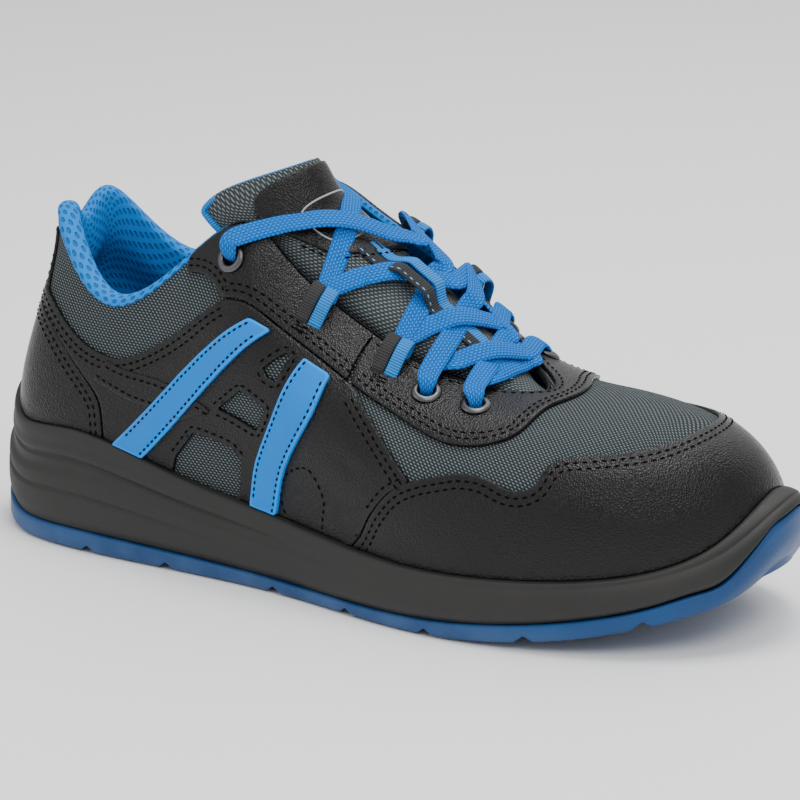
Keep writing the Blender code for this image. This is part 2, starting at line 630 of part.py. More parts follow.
def make_toe_cap():
    """Smooth leather cap over the toe, from seam to seam."""
    seam = TOE_SEAM + other_side(TOE_SEAM)[1:]
    foot = rim_run(TOE_SEAM_FOOT, ROUND - TOE_SEAM_FOOT)[::-1]
    outline = np.concatenate([rounded([tuple(foot[-1])] + seam + [tuple(foot[0])]), foot[:-1]])
    return panel("toe_cap", outline, [], SEAM_GAP, LEATHER, "leather")


def make_heel_counter():
    """Leather counter round the back of the heel."""
    left = [(-row, share) for row, share in COUNTER_SEAM]
    foot = rim_run(-COUNTER_FOOT, COUNTER_FOOT)
    seam = COUNTER_SEAM + left[::-1][1:]
    outline = rounded([tuple(foot[-1])] + seam + [tuple(foot[0])])
    return panel("heel_counter", np.concatenate([outline, foot[:-1]]), [], SEAM_GAP, LEATHER, "leather")


def make_quarter(side, mirrored):
    """Leather cage of one side, with its three mesh windows."""
    low = [(row + 0.03, share + 0.010) for row, share in COUNTER_SEAM[:-1]][::-1]
    low = [(0.02, COUNTER_SEAM[-1][1] + 0.012)] + low
    rear = rim_run(COUNTER_FOOT + 0.04, LOWER_WINDOW_ROWS[0], mirrored)
    front = rim_run(LOWER_WINDOW_ROWS[1], TOE_SEAM_FOOT - 0.03, mirrored)
    toe = [(row - 0.03, share) for row, share in TOE_SEAM[:3]] + [(5.70, 0.478)]
    edge = [(5.70, 0.478), (5.57, 0.58), (5.35, 0.69), (5.08, 0.780)]
    top = [(5.08, 0.780), (4.80, 0.795), (4.50, 0.800), (4.10, 0.795), (3.65, 0.780), COLLAR_SEAM[0]]
    outline = np.concatenate([
        rounded(low + [tuple(rear[0])]), rear,
        rounded(*[LOWER_WINDOW[i:i + 2] for i in range(3)]), [LOWER_WINDOW[-1]],
        front, rounded(toe, edge, top, COLLAR_SEAM), [COLLAR_SEAM[-1]]])
    return panel("quarter_" + side, outline, [SMALL_WINDOW, MIDDLE_WINDOW], SEAM_GAP, LEATHER,
                 "leather", mirrored=mirrored)


def make_facings():
    """Front facing round the foot of the throat, and the two rear facings at the collar."""
    seam = FACING_SEAM + other_side(FACING_SEAM)[1:]
    start, end = FACING_SEAM[0][0], ROUND - FACING_SEAM[0][0]
    edge = [(end, FACING_TOP), (start, FACING_TOP)]
    outline = np.concatenate([rounded(seam), [seam[-1]], edge])
    pieces = [panel("facing_front", outline, [], SEAM_GAP, LEATHER, "leather")]
    low = [(2.70, 0.935), (2.94, 0.865), (3.25, 0.770)]
    foot = [(3.25, 0.770), (3.65, 0.793), (4.10, 0.808), (4.50, 0.814), (4.80, 0.808), (5.01, 0.800)]
    top = [(5.01, FACING_TOP), (2.70, FACING_TOP)]
    for side, mirrored in (("outer", False), ("inner", True)):
        pieces.append(panel("facing_rear_" + side, np.concatenate([rounded(low, foot), top]), [],
                            2 * SEAM_GAP, LEATHER, "leather", mirrored=mirrored))
    return pieces


def make_straps(side, mirrored):
    """Two blue straps stitched over the quarter."""
    lift = 2.5 * SEAM_GAP + LEATHER
    for name, front, back, rows in (("strap_rear_", REAR_STRAP, REAR_STRAP_BACK, REAR_STRAP_FOOT),
                                    ("strap_front_", FRONT_STRAP, FRONT_STRAP_BACK, FRONT_STRAP_FOOT)):
        foot = [(row, float(rim_share([row], mirrored)[0])) for row in rows]
        outline = np.concatenate([front[:1], rounded(front[1:] + foot[:1]), foot[:1],
                                  rounded(foot[1:] + back)])
        panel(name + side, outline, [], lift, 0.8 * LEATHER, "blue_strap", mirrored=mirrored)


def frame_at(row, share, off):
    """Point on the upper with its directions: down the wall, along the rows and outwards."""
    row, share = np.array([row]), np.array([share])
    normal = last_normal(row, share)[0]
    down = last(row, share - 0.01)[0] - last(row, share + 0.01)[0]
    down -= normal * down.dot(normal)
    down /= np.linalg.norm(down)
    return last(row, share, off)[0], down, np.cross(normal, down), normal


def make_eyelet(name, row, share, holed):
    """Rolled metal eyelet through the facing; its hole is cut in the pieces under it."""
    face = SEAM_GAP + LEATHER
    origin, down, side, normal = frame_at(row, share, face)
    barrel_end = -(face + WALL + 1.5 * SEAM_GAP)
    base = 2 * SEAM_GAP
    roll = 1.6 * SEAM_GAP
    profile = [(EYELET_HOLE, base + roll), (EYELET_RADIUS - roll, base + roll), (EYELET_RADIUS, base),
               (EYELET_BARREL, base), (EYELET_BARREL, barrel_end), (EYELET_HOLE, barrel_end)]
    angles = np.linspace(0, 2 * math.pi, 10, endpoint=False)
    rings = np.array([[origin + (down * math.cos(a) + side * math.sin(a)) * r + normal * h
                       for r, h in profile] for a in angles])
    eyelet = place(name, mesh_from(name, rings.reshape(-1, 3), ring_faces(10, len(profile), True)),
                   "eyelet_metal")
    hole = bmesh.new()
    turn = Matrix((down, side, normal)).transposed().to_4x4()
    bmesh.ops.create_cone(hole, cap_ends=True, segments=10, radius1=EYELET_BARREL + SOLE_GAP,
                          radius2=EYELET_BARREL + SOLE_GAP, depth=6 * WALL,
                          matrix=Matrix.Translation(origin) @ turn)
    mesh = bpy.data.meshes.new("hole_" + name)
    hole.to_mesh(mesh)
    hole.free()
    cutter = place("hole_" + name, mesh, None, "cutters")
    for piece in holed:
        cut(piece, cutter)
    return eyelet


def make_lace_loop(name, row, share):
    """Folded webbing loop on the facing, with an eye at the throat edge for the lace."""
    origin, down, side, normal = frame_at(row, share, 2 * SEAM_GAP + LEATHER)
    tail = 0.75 * LOOP_LENGTH
    base, ply = SEAM_GAP, WEBBING
    eye = 1.5 * LACE_THICK
    crest = base + 2 * ply + eye
    outer = [(-3 * ply, 0.45 * crest), (-2.1 * ply, 0.92 * crest), (0.3 * ply, crest),
             (3 * ply, 0.70 * crest),
             (tail, base + 1.4 * ply), (tail, base), (0.7 * ply, base), (-2.1 * ply, base)]
    inner = [(-2 * ply, 0.5 * crest), (-1.6 * ply, 0.92 * crest - ply), (0.3 * ply, crest - ply),
             (1.9 * ply, 0.70 * crest - 0.7 * ply), (2.7 * ply, base + 1.5 * ply), (2.6 * ply, base + ply),
             (0.7 * ply, base + ply), (-1.6 * ply, base + ply)]
    half = 0.5 * LOOP_WIDTH
    rings = []
    for loop, end in ((outer, -half), (outer, half), (inner, half), (inner, -half)):
        rings.append([origin + down * u + normal * h + side * end for u, h in loop])
    faces = ring_faces(4, len(outer), True)
    return place(name, mesh_from(name, np.array(rings).reshape(-1, 3), faces), "webbing")


def lace_strip(name, start, end, rise, facing_out):
    """Flat lace from one anchor to another, arched over the tongue by rise."""
    s = np.linspace(-1, 1, 9)
    s = np.sin(0.5 * math.pi * s)
    share = 0.5 * (s + 1)[:, None]
    arch = np.sqrt(np.clip(1 - s ** 2, 0, 1))[:, None]
    path = start * (1 - share) + end * share + rise * arch
    run = np.gradient(path, axis=0)
    run /= np.linalg.norm(run, axis=1, keepdims=True)
    lean = facing_out[0] * (1 - share) + facing_out[1] * share + rise / np.linalg.norm(rise) * arch
    flat = np.cross(run, lean)
    flat /= np.linalg.norm(flat, axis=1, keepdims=True)
    up = np.cross(flat, run)
    w, h = 0.5 * LACE_WIDTH, 0.5 * LACE_THICK
    sections = np.stack([path + flat * w - up * h, path + flat * w + up * h,
                         path - flat * w + up * h, path - flat * w - up * h], 1)
    return lofted(name, sections, "lace_cord")


def make_laces():
    """The lace's crossings and lowest bar, joined at the anchors beside each eyelet or loop."""
    stations = sorted(EYELETS[:2] + LACE_LOOPS + EYELETS[2:], key=lambda place: -place[0])
    anchors = []
    for row, share in stations:
        pair = []
        for at in (row, ROUND - row):
            origin, down, side, normal = frame_at(at, share, SEAM_GAP + LEATHER)
            pair.append((origin - down * LACE_REACH + normal * LACE_STAND, normal))
        anchors.append(pair)

    ridge = tongue(np.linspace(1, TONGUE_TOP, 161), 0.0, LACE_LIFT)

    def rise(low, high):
        """From the middle of four anchors to the nearest place just above the tongue's ridge."""
        middle = np.mean([anchors[low][0][0], anchors[low][1][0],
                          anchors[high][0][0], anchors[high][1][0]], 0)
        gap = ridge - middle
        return gap[np.argmin(np.linalg.norm(gap, axis=1))]
    first = None
    pairs = [(0, 0)] + [(k, k + 1) for k in range(len(anchors) - 1)]
    for low, high in pairs:
        for a, b in (((low, 0), (high, 1)), ((low, 1), (high, 0)))[:1 if low == high else 2]:
            one, two = anchors[a[0]][a[1]], anchors[b[0]][b[1]]
            name = "laces" if first is None else f"lace_{a[0]}{a[1]}_{b[0]}{b[1]}"
            strip = lace_strip(name, one[0], two[0], rise(low, high), (one[1], two[1]))
            if first is None:
                first = strip
            else:
                join(first, strip)
    return first


def join(piece, other):
    """Fuse a hidden solid onto a piece."""
    other.hide_render = True
    other.display_type = "WIRE"
    step = piece.modifiers.new("join_" + other.name, "BOOLEAN")
    step.operation = "UNION"
    step.object = other


def make_tongue_trim():
    """Leather patch at the tongue's top and the keeper tape down its middle."""
    patch = rounded([(5.35, -0.60), (5.30, 0.0), (5.35, 0.45), (5.60, 0.60)],
                    [(5.60, 0.60), (6.80, 0.62), (7.80, 0.52), (8.55, 0.28), (8.68, 0.0)],
                    [(8.68, 0.0), (8.45, -0.35), (7.60, -0.62), (6.60, -0.70), (5.35, -0.60)])
    panel("tongue_patch", patch, [], 1.5 * SEAM_GAP, LEATHER, "leather", on_tongue=True)
    half = 0.5 * TAPE_WIDTH / BALL_WIDTH / 0.17 * 0.64
    inner = 0.66 * half
    tape = [(2.9, -half), (5.24, -half), (5.24, inner), (2.9, inner)]
    panel("tongue_tape", tape, [], 1.5 * SEAM_GAP, WEBBING, "webbing", on_tongue=True)


def make_shoe():
    for old in list(bpy.data.objects):
        bpy.data.objects.remove(old, do_unlink=True)
    make_outsole()
    make_midsole()
    make_insole()
    upper = make_upper()
    make_tongue()
    make_tongue_trim()
    make_toe_cap()
    make_heel_counter()
    front, rear_outer, rear_inner = make_facings()
    for side, mirrored, rear in (("outer", False, rear_outer), ("inner", True, rear_inner)):
        make_quarter(side, mirrored)
        make_straps(side, mirrored)
        for number, (row, share) in enumerate(EYELETS, 1):
            at = ROUND - row if mirrored else row
            under = rear if number == len(EYELETS) else front
            make_eyelet(f"eyelet_{side}_{number}", at, share, (upper, under))
        for number, (row, share) in enumerate(LACE_LOOPS, 1):
            at = ROUND - row if mirrored else row
            make_lace_loop(f"lace_loop_{side}_{number}", at, share)
    make_laces()


make_shoe()
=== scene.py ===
import math

import bmesh
import bpy
import numpy as np
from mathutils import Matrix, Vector


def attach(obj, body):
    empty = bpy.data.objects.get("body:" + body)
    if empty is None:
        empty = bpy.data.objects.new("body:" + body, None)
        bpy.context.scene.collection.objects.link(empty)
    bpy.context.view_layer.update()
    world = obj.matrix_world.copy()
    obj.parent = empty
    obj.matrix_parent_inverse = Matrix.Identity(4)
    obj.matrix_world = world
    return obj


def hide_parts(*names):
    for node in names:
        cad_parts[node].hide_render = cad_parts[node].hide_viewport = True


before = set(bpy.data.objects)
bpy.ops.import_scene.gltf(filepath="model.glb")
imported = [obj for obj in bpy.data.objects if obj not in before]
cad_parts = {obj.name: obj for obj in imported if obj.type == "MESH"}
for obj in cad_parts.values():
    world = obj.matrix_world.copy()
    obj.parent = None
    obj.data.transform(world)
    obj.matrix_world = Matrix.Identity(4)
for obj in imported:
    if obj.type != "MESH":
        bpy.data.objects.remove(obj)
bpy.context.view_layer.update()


# Outsole: one moulding of blue rubber with cut side lugs, a raised edge and a toe bumper that
# climbs the front. It is moulded with the midsole and stands on the floor from heel to ball.
LENGTH, BALL_WIDTH, HEEL_WIDTH = 0.300, 0.110, 0.078
INSTEP_HEIGHT, HEEL_HEIGHT = 0.121, 0.112
LAST_ROW, ROUND = 9, 18
OUTLINE_X = (-0.500, -0.455, -0.350, -0.205, -0.060, 0.075, 0.205, 0.345, 0.455, 0.500)
OUTLINE_BALL = (0, 0, 0, 0.25, 0.6, 1, 1, 1, 1, 1)
OUTLINE_OUT = (0.000, 0.345, 0.490, 0.475, 0.455, 0.480, 0.505, 0.425, 0.230, -0.055)
OUTLINE_IN = (0.000, 0.335, 0.475, 0.405, 0.325, 0.375, 0.465, 0.465, 0.325, 0.055)
BAND_TABLE = (0.095, 0.066, 0.062, 0.054, 0.042, 0.040, 0.050, 0.052, 0.085, 0.190)
TREAD_PLATE, BAND_WALL, EDGE_INSET, SOLE_GAP = 0.0040, 0.0030, 0.0008, 0.0003
LUG_DEPTH, LUG_GROOVE, GROOVE_REACH = 0.0030, 0.0075, 0.024
GROOVES = (-0.32, -0.21, -0.06, 0.045, 0.155, 0.270, 0.385)
# The side's rounded lower corner: inset and height, each with what the toe bumper adds.
CORNER = ((0.0035, 0.0095, 0.00002, 0.0007), (0.0020, 0.0070, 0.00015, 0.0022),
          (0.0010, 0.0042, 0.0006, 0.0042), (0.0004, 0.0018, 0.0013, 0.0072),
          (0.0001, 0.0005, 0.0022, 0.0100))
SOLE_SECTIONS = 1260


def around(outer, inner):
    """Join a heel-to-toe column of each side into one loop: out along one side, home on the other."""
    return np.concatenate([np.asarray(outer, float), np.asarray(inner, float)[-2:0:-1]])


def smooth(loop, row):
    """Closed cubic spline through the loop's rows, read at the given row numbers."""
    rows = np.asarray(loop, float)
    count = len(rows)
    eye = np.eye(count)
    matrix = 4 * eye + np.roll(eye, 1, 0) + np.roll(eye, -1, 0)
    bend = np.linalg.solve(matrix, 6 * (np.roll(rows, -1, 0) - 2 * rows + np.roll(rows, 1, 0)))
    row = np.asarray(row, float) % count
    low = np.floor(row).astype(int) % count
    high = (low + 1) % count
    share = row - np.floor(row)
    return (rows[low] * (1 - share) + rows[high] * share
            + bend[low] * ((1 - share) ** 3 - (1 - share)) / 6
            + bend[high] * (share ** 3 - share) / 6)


def ease(value, low, high):
    """Smooth step from 0 at low to 1 at high."""
    s = np.clip((np.asarray(value, float) - low) / (high - low), 0, 1)
    return s * s * (3 - 2 * s)


def hump(value, middle, half):
    """Gaussian bump of height 1 about the middle."""
    return np.exp(-((np.asarray(value, float) - middle) / half) ** 2)


WIDTH = HEEL_WIDTH + (BALL_WIDTH - HEEL_WIDTH) * np.asarray(OUTLINE_BALL, float)
HEIGHT = HEEL_HEIGHT + (INSTEP_HEIGHT - HEEL_HEIGHT) * np.asarray(OUTLINE_BALL, float)
LINE_X = LENGTH * around(OUTLINE_X, OUTLINE_X)
LINE_Y = around(-WIDTH * np.asarray(OUTLINE_OUT), WIDTH * np.asarray(OUTLINE_IN))
EDGE_Y = smooth(LINE_Y, np.linspace(0, ROUND, 361))
MIDDLE_Y = 0.5 * (EDGE_Y.max() + EDGE_Y.min())
LINE_Y = LINE_Y - MIDDLE_Y
BAND = INSTEP_HEIGHT * around(BAND_TABLE, BAND_TABLE)


def unit(vectors):
    """Vectors scaled to length 1."""
    return vectors / np.linalg.norm(vectors, axis=-1, keepdims=True)


def distance(points):
    """Distance along a line of points, 0 at its first."""
    return np.concatenate([[0], np.cumsum(np.linalg.norm(np.diff(points, axis=0), axis=-1))])


def averaged(path, weights):
    """A line of points, each averaged with its neighbours by weights that add up to 1."""
    reach = len(weights) // 2
    return np.stack([np.convolve(np.pad(path[:, k], reach, "edge"), weights, "valid") for k in range(3)], -1)


def tread(x):
    """Height of the tread: flat from heel to ball, rising with the square of the way to either end."""
    heel, ball = -0.42 * LENGTH, 0.13 * LENGTH
    ahead = np.clip((np.asarray(x, float) - ball) / (0.5 * LENGTH - ball), 0, 1.1)
    behind = np.clip((heel - np.asarray(x, float)) / (0.5 * LENGTH + heel), 0, 1.1)
    return 0.021 * ahead ** 2 + 0.004 * behind ** 2


def sole_line(row, outset=0.0):
    """Widest line of the sole moved outwards by outset, and its outward direction."""
    row, outset = np.broadcast_arrays(np.asarray(row, float), np.asarray(outset, float))
    step = 1e-3
    point = np.stack([smooth(LINE_X, row), smooth(LINE_Y, row)], -1)
    run = unit(np.stack([smooth(line, row + step) - smooth(line, row - step)
                         for line in (LINE_X, LINE_Y)], -1))
    out = np.stack([run[..., 1], -run[..., 0]], -1)
    return point + out * outset[..., None], out


def catmull(values, at):
    """Open Catmull-Rom curve through a list of values or points, read at numbers along it."""
    values = np.asarray(values, float)
    at = np.clip(np.asarray(at, float), 0, len(values) - 1)
    low = np.minimum(np.floor(at).astype(int), len(values) - 2)
    s = (at - low).reshape(at.shape + (1,) * (values.ndim - 1))
    p0, p1 = values[np.maximum(low - 1, 0)], values[low]
    p2, p3 = values[low + 1], values[np.minimum(low + 2, len(values) - 1)]
    return 0.5 * (2 * p1 + (p2 - p0) * s + (2 * p0 - 5 * p1 + 4 * p2 - p3) * s ** 2
                  + (3 * p1 - p0 - 3 * p2 + p3) * s ** 3)


def piece(name, points, faces, slot, finish, uv=None, corners=None, values=None, replaces=(), weld=False):
    """A smooth-shaded mesh piece of the shoe. uv is per point, or per face corner through corners."""
    mesh = bpy.data.meshes.new(name)
    mesh.from_pydata(np.asarray(points).reshape(-1, 3).tolist(), [], [list(map(int, f)) for f in faces])
    mesh.polygons.foreach_set("use_smooth", np.ones(len(mesh.polygons), bool))
    if uv is not None:
        at = np.empty(len(mesh.loops), int)
        mesh.loops.foreach_get("vertex_index", at)
        at = at if corners is None else np.asarray(corners).ravel()
        layer = mesh.uv_layers.new(name="surface")
        layer.data.foreach_set("uv", np.asarray(uv).reshape(-1, 2)[at].astype(np.float32).ravel())
    for key, value in (values or {}).items():
        mesh.attributes.new(key, "FLOAT", "POINT").data.foreach_set("value", np.asarray(value, np.float32))
    if weld:
        work = bmesh.new()
        work.from_mesh(mesh)
        bmesh.ops.remove_doubles(work, verts=work.verts, dist=1e-5)
        bmesh.ops.dissolve_degenerate(work, edges=work.edges, dist=1e-6)
        work.to_mesh(mesh)
        work.free()
    mesh.materials.append(finish)
    mesh.update()
    made = bpy.data.objects.new(name, mesh)
    bpy.context.scene.collection.objects.link(made)
    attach(made, "root")
    if replaces:
        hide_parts(*replaces)
    return made


def cells(rows, cols):
    """Row and column numbers of the corners of a grid's faces, counted so that they face one way."""
    i, j = (a.ravel() for a in np.meshgrid(np.arange(rows), np.arange(cols), indexing="ij"))
    return np.stack([i, i + 1, i + 1, i], 1), np.stack([j, j, j + 1, j + 1], 1)


def grid_piece(name, points, slot, finish, closed=(False, False), uv=None, turned=False, **more):
    """A piece from a grid of points, closed round its rows or its columns; turned flips its faces."""
    rows, cols = points.shape[:2]
    ci, cj = cells(rows - 1 + closed[0], cols - 1 + closed[1])
    if turned:
        ci, cj = ci[:, ::-1], cj[:, ::-1]
    faces = (ci % rows) * cols + cj % cols
    corners = ci * (cols + closed[1]) + cj
    return piece(name, points, faces, slot, finish, uv=uv, corners=corners, **more)


def node(tree, kind, *inputs, **settings):
    """A shader node: settings by name, then its inputs in order, each a value or a socket to link."""
    made = tree.nodes.new(kind)
    for key, value in settings.items():
        setattr(made, key, value)
    for socket, value in zip(made.inputs, inputs):
        if isinstance(value, bpy.types.NodeSocket):
            tree.links.new(value, socket)
        elif value is not None:
            socket.default_value = value
    return made


def sums(tree, operation, *inputs):
    """The output of one Math node."""
    return node(tree, "ShaderNodeMath", *inputs, operation=operation).outputs[0]


def between(tree, value, low, high, to_low=0.0, to_high=1.0):
    """A value mapped from one range to another with a smooth step, and clamped."""
    made = node(tree, "ShaderNodeMapRange", value, low, high, to_low, to_high)
    made.interpolation_type = "SMOOTHSTEP"
    return made.outputs["Result"]


def blend(tree, share, one, two):
    """A colour mixed from one to two."""
    made = node(tree, "ShaderNodeMix", data_type="RGBA")
    for socket, value in ((made.inputs[0], share), (made.inputs[6], one), (made.inputs[7], two)):
        if isinstance(value, bpy.types.NodeSocket):
            tree.links.new(value, socket)
        else:
            socket.default_value = value
    return made.outputs[2]


def effect(name, inputs, outputs):
    """An empty node group with named inputs, each with its default, and named outputs."""
    group = bpy.data.node_groups.new(name, "ShaderNodeTree")
    for key, value in inputs.items():
        kind = "NodeSocketVector" if value is None else "NodeSocketFloat"
        socket = group.interface.new_socket(key, in_out="INPUT", socket_type=kind)
        if value is not None:
            socket.default_value = value
    for key in outputs:
        group.interface.new_socket(key, in_out="OUTPUT", socket_type="NodeSocketFloat")
    return group, group.nodes.new("NodeGroupInput").outputs, group.nodes.new("NodeGroupOutput").inputs


def finish_of(name, roughness, **sockets):
    """A material with one Principled shader whose constant sockets are set by name."""
    made = bpy.data.materials.new(name)
    made.use_nodes = True
    tree = made.node_tree
    shader = tree.nodes["Principled BSDF"]
    shader.inputs["Roughness"].default_value = roughness
    for key, value in sockets.items():
        shader.inputs[key.replace("_", " ")].default_value = value
    return made, tree, shader


def raised(tree, shader, height, depth):
    """Feed a height, in shares of depth metres, to the shader's normal."""
    made = node(tree, "ShaderNodeBump")
    made.inputs["Strength"].default_value = 1.0
    made.inputs["Distance"].default_value = depth
    tree.links.new(height, made.inputs["Height"])
    tree.links.new(made.outputs["Normal"], shader.inputs["Normal"])


def pattern_of(tree, group, place):
    """A node group laid on object coordinates or on the piece's own UV map."""
    made = node(tree, "ShaderNodeGroup", node_tree=group)
    tree.links.new(place, made.inputs["Vector"])
    return made


def object_place(tree):
    """Object coordinates."""
    return node(tree, "ShaderNodeTexCoord").outputs["Object"]


def surface_place(tree):
    """The piece's own UV map, in metres along the surface."""
    return node(tree, "ShaderNodeUVMap", uv_map="surface").outputs["UV"]


def noise(tree, place, scale, detail=3.0, rough=0.55):
    """A noise between about 0 and 1 at a number of cells to the metre."""
    made = node(tree, "ShaderNodeTexNoise")
    made.inputs["Scale"].default_value = scale
    made.inputs["Detail"].default_value = detail
    made.inputs["Roughness"].default_value = rough
    tree.links.new(place, made.inputs["Vector"])
    return made.outputs["Fac"]


MOULD_GRAIN = 0.00010


def make_moulded():
    """Fine spark-eroded texture of a moulding: Height is two noises, Shade a slow mottling."""
    group, given, out = effect("moulded_texture", {"Vector": None, "Fineness": 1.0},
                               ("Height", "Shade"))
    scaled = node(group, "ShaderNodeVectorMath", given["Vector"], operation="SCALE")
    group.links.new(given["Fineness"], scaled.inputs["Scale"])
    place = scaled.outputs[0]
    fine = noise(group, place, 1500, 2.0)
    group.links.new(sums(group, "MULTIPLY_ADD", noise(group, place, 320, 3.0), 0.5, fine), out["Height"])
    group.links.new(between(group, noise(group, place, 38, 4.0), 0.3, 0.7), out["Shade"])
    return group


MOULDED = make_moulded()


def moulded_finish(name, dark, light, roughness, depth, dust):
    """Moulded rubber or foam: mottled colour, fine texture, and a little dust low down."""
    made, tree, shader = finish_of(name, roughness, Specular_IOR_Level=0.35)
    place = object_place(tree)
    texture = pattern_of(tree, MOULDED, place)
    height = node(tree, "ShaderNodeSeparateXYZ", place).outputs["Z"]
    low = sums(tree, "MULTIPLY", between(tree, height, 0.0, 0.012, dust, 0.0), texture.outputs["Shade"])
    colour = blend(tree, texture.outputs["Shade"], dark, light)
    tree.links.new(blend(tree, low, colour, (0.22, 0.24, 0.26, 1)), shader.inputs["Base Color"])
    tree.links.new(between(tree, texture.outputs["Shade"], 0.0, 1.0, roughness - 0.06, roughness + 0.06),
                   shader.inputs["Roughness"])
    raised(tree, shader, texture.outputs["Height"], depth)
    return made


def groove_height(points):
    """Height above the tread to which the nearest side groove lifts a point: a V of straight sides."""
    lift = np.zeros(points.shape[:-1])
    for sign in (-1, 1):
        for share in GROOVES:
            x = share * LENGTH
            row = np.interp(x, LINE_X[:LAST_ROW + 1], np.arange(LAST_ROW + 1))
            edge, out = sole_line(np.array([row if sign < 0 else ROUND - row]), 0.004)
            inward = unit(-out[0] + np.array([-0.25, 0.0]))
            way = points[..., :2] - edge[0]
            aside = np.abs(way[..., 0] * inward[1] - way[..., 1] * inward[0])
            reach = way @ inward
            here = (reach > -0.006) & (reach < GROOVE_REACH)
            lift = np.maximum(lift, here * LUG_DEPTH * (1 - aside / (0.5 * LUG_GROOVE)))
    return lift


def band_height(row):
    """Height of the raised edge: low along the sides, then steep up the front of the toe."""
    ahead = np.abs(np.asarray(row) % ROUND - LAST_ROW)
    return smooth(BAND, row) - 0.0030 * hump(ahead, 0.95, 0.25) + 0.0013 * hump(ahead, 0.42, 0.15)


def make_outsole():
    """A profile carried round the sole's outline, drawn in to the middle under the foot and inside."""
    rows = np.linspace(0, ROUND, SOLE_SECTIONS, endpoint=False)
    band = band_height(rows)
    toe = 1 - ease(np.abs(rows - LAST_ROW), 0.1, 1.15)

    def ring(outset, height):
        """The sole's line moved outwards, at a height above the tread."""
        line, _ = sole_line(rows, outset)
        return np.concatenate([line, (tread(line[:, 0]) + height)[:, None]], -1)

    spine_x = np.clip(smooth(LINE_X, rows), -0.5 * LENGTH + 0.035, 0.5 * LENGTH - 0.050)
    spine = np.stack([spine_x, 0 * spine_x, tread(spine_x)], -1)
    low = ring(-0.0060 - 0.0120 * toe, 0.0)
    under = [low * t + spine * (1 - t) for t in (0.0, 0.2, 0.4, 0.55, 0.66, 0.76, 0.85, 0.93)]
    for line in under:
        line[:, 2] = tread(line[:, 0])
    side = [low] + [ring(-inset - more * toe, high + rise * toe) for inset, more, high, rise in CORNER]
    start = CORNER[-1][2] + CORNER[-1][3] * toe
    side += [ring(-0.0002 * t, start + (band - 0.0008 - start) * t) for t in (0.25, 0.5, 0.75, 1.0)]
    side += [ring(-0.0006, band - 0.0003), ring(-EDGE_INSET - 0.0004, band)]
    side += [ring(-EDGE_INSET - BAND_WALL, height) for height in (band, TREAD_PLATE)]
    roof = side[-1]
    spine_top = spine + np.array([0, 0, TREAD_PLATE])
    side += [roof * t + spine_top * (1 - t) for t in (0.5, 0.0)]
    points = np.stack(under + side, 1)
    ground = tread(points[..., 0])
    cut = ground + groove_height(points)
    below = (points[..., 2] < cut) & (points[..., 2] < ground + LUG_DEPTH)
    points[..., 2] = np.where(below, cut, points[..., 2])
    rubber = moulded_finish("blue_rubber", (0.000, 0.038, 0.135, 1), (0.000, 0.055, 0.185, 1), 0.50,
                            MOULD_GRAIN, 0.15)
    grid_piece("outsole_moulding", points, "outsole_rubber", rubber, closed=(True, False),
               replaces=("outsole",), weld=True)


make_outsole()


# Midsole: a deep cup of charcoal polyurethane foam that the upper is glued and moulded into. Its
# side has a rolled rim, two long creases that fade out past the heel, and a soft step above the band.
RIM_OUT = (0.413, 0.343, 0.351, 0.277, 0.215, 0.182, 0.182, 0.211, 0.289, 0.395)
RIM_IN = (0.413, 0.350, 0.355, 0.300, 0.262, 0.215, 0.190, 0.211, 0.289, 0.395)
FEATHER_INSET, CUP_GAP, RIM_LIP, SIDE_TOP = 0.007, 0.0005, 0.0022, 0.86
SIDE_BULGE = (-0.0016, -0.0003, 0.0, -0.0001, -0.0003, -0.0006, -0.0010, -0.0016, -0.0024)
UPPER = {
    "seat": ((0.25, 0.24, 0.23, 0.20, 0.16, 0.125, 0.115, 0.15, 0.18, 0.21),) * 2,
    "top_x": ((-0.420, -0.413, -0.305, -0.165, -0.080, 0.020, 0.085, 0.150, 0.190, 0.200),
              (-0.420, -0.398, -0.300, -0.165, -0.080, 0.020, 0.085, 0.150, 0.190, 0.200)),
    "top_y": ((0.018, -0.105, -0.245, -0.195, -0.180, -0.165, -0.150, -0.095, -0.035, 0.018),
              (0.018, 0.145, 0.275, 0.262, 0.285, 0.262, 0.235, 0.170, 0.085, 0.018)),
    "top_z": ((0.965, 1.005, 0.790, 1.045, 0.930, 0.735, 0.655, 0.605, 0.590, 0.585),
              (0.965, 1.030, 0.830, 1.080, 1.015, 0.860, 0.745, 0.640, 0.597, 0.585)),
    "rise": ((0.25, 0.25, 0.20, 0.28, 0.26, 0.23, 0.23, 0.26, 0.28, 0.30),
             (0.25, 0.25, 0.20, 0.28, 0.28, 0.28, 0.25, 0.26, 0.28, 0.30)),
    "lean": ((12, 10, 6, 0, 0, 4, 8, 10, 8, 4),) * 2,
    "crown": ((0.18, 0.18, 0.17, 0.35, 0.33, 0.33, 0.33, 0.39, 0.46, 0.50),
              (0.18, 0.18, 0.17, 0.32, 0.28, 0.27, 0.27, 0.32, 0.43, 0.50)),
    "pitch": ((100, 95, 88, 62, 42, 32, 24, 10, -1, -5),
              (100, 95, 88, 64, 50, 43, 35, 20, 3, -5)),
}


def column(name, scale=1.0):
    """One column of the upper's table as a loop round the shoe."""
    outer, inner = UPPER[name]
    return around(np.asarray(outer) * scale, np.asarray(inner) * scale)


SEAT, RISE, CROWN = (column(name, INSTEP_HEIGHT) for name in ("seat", "rise", "crown"))
TOP_X, TOP_Y, TOP_Z = column("top_x", LENGTH), column("top_y", BALL_WIDTH) - MIDDLE_Y, column("top_z", HEIGHT)
LEAN, PITCH = np.radians(column("lean")), np.radians(column("pitch"))
RIM = INSTEP_HEIGHT * around(RIM_OUT, RIM_IN)


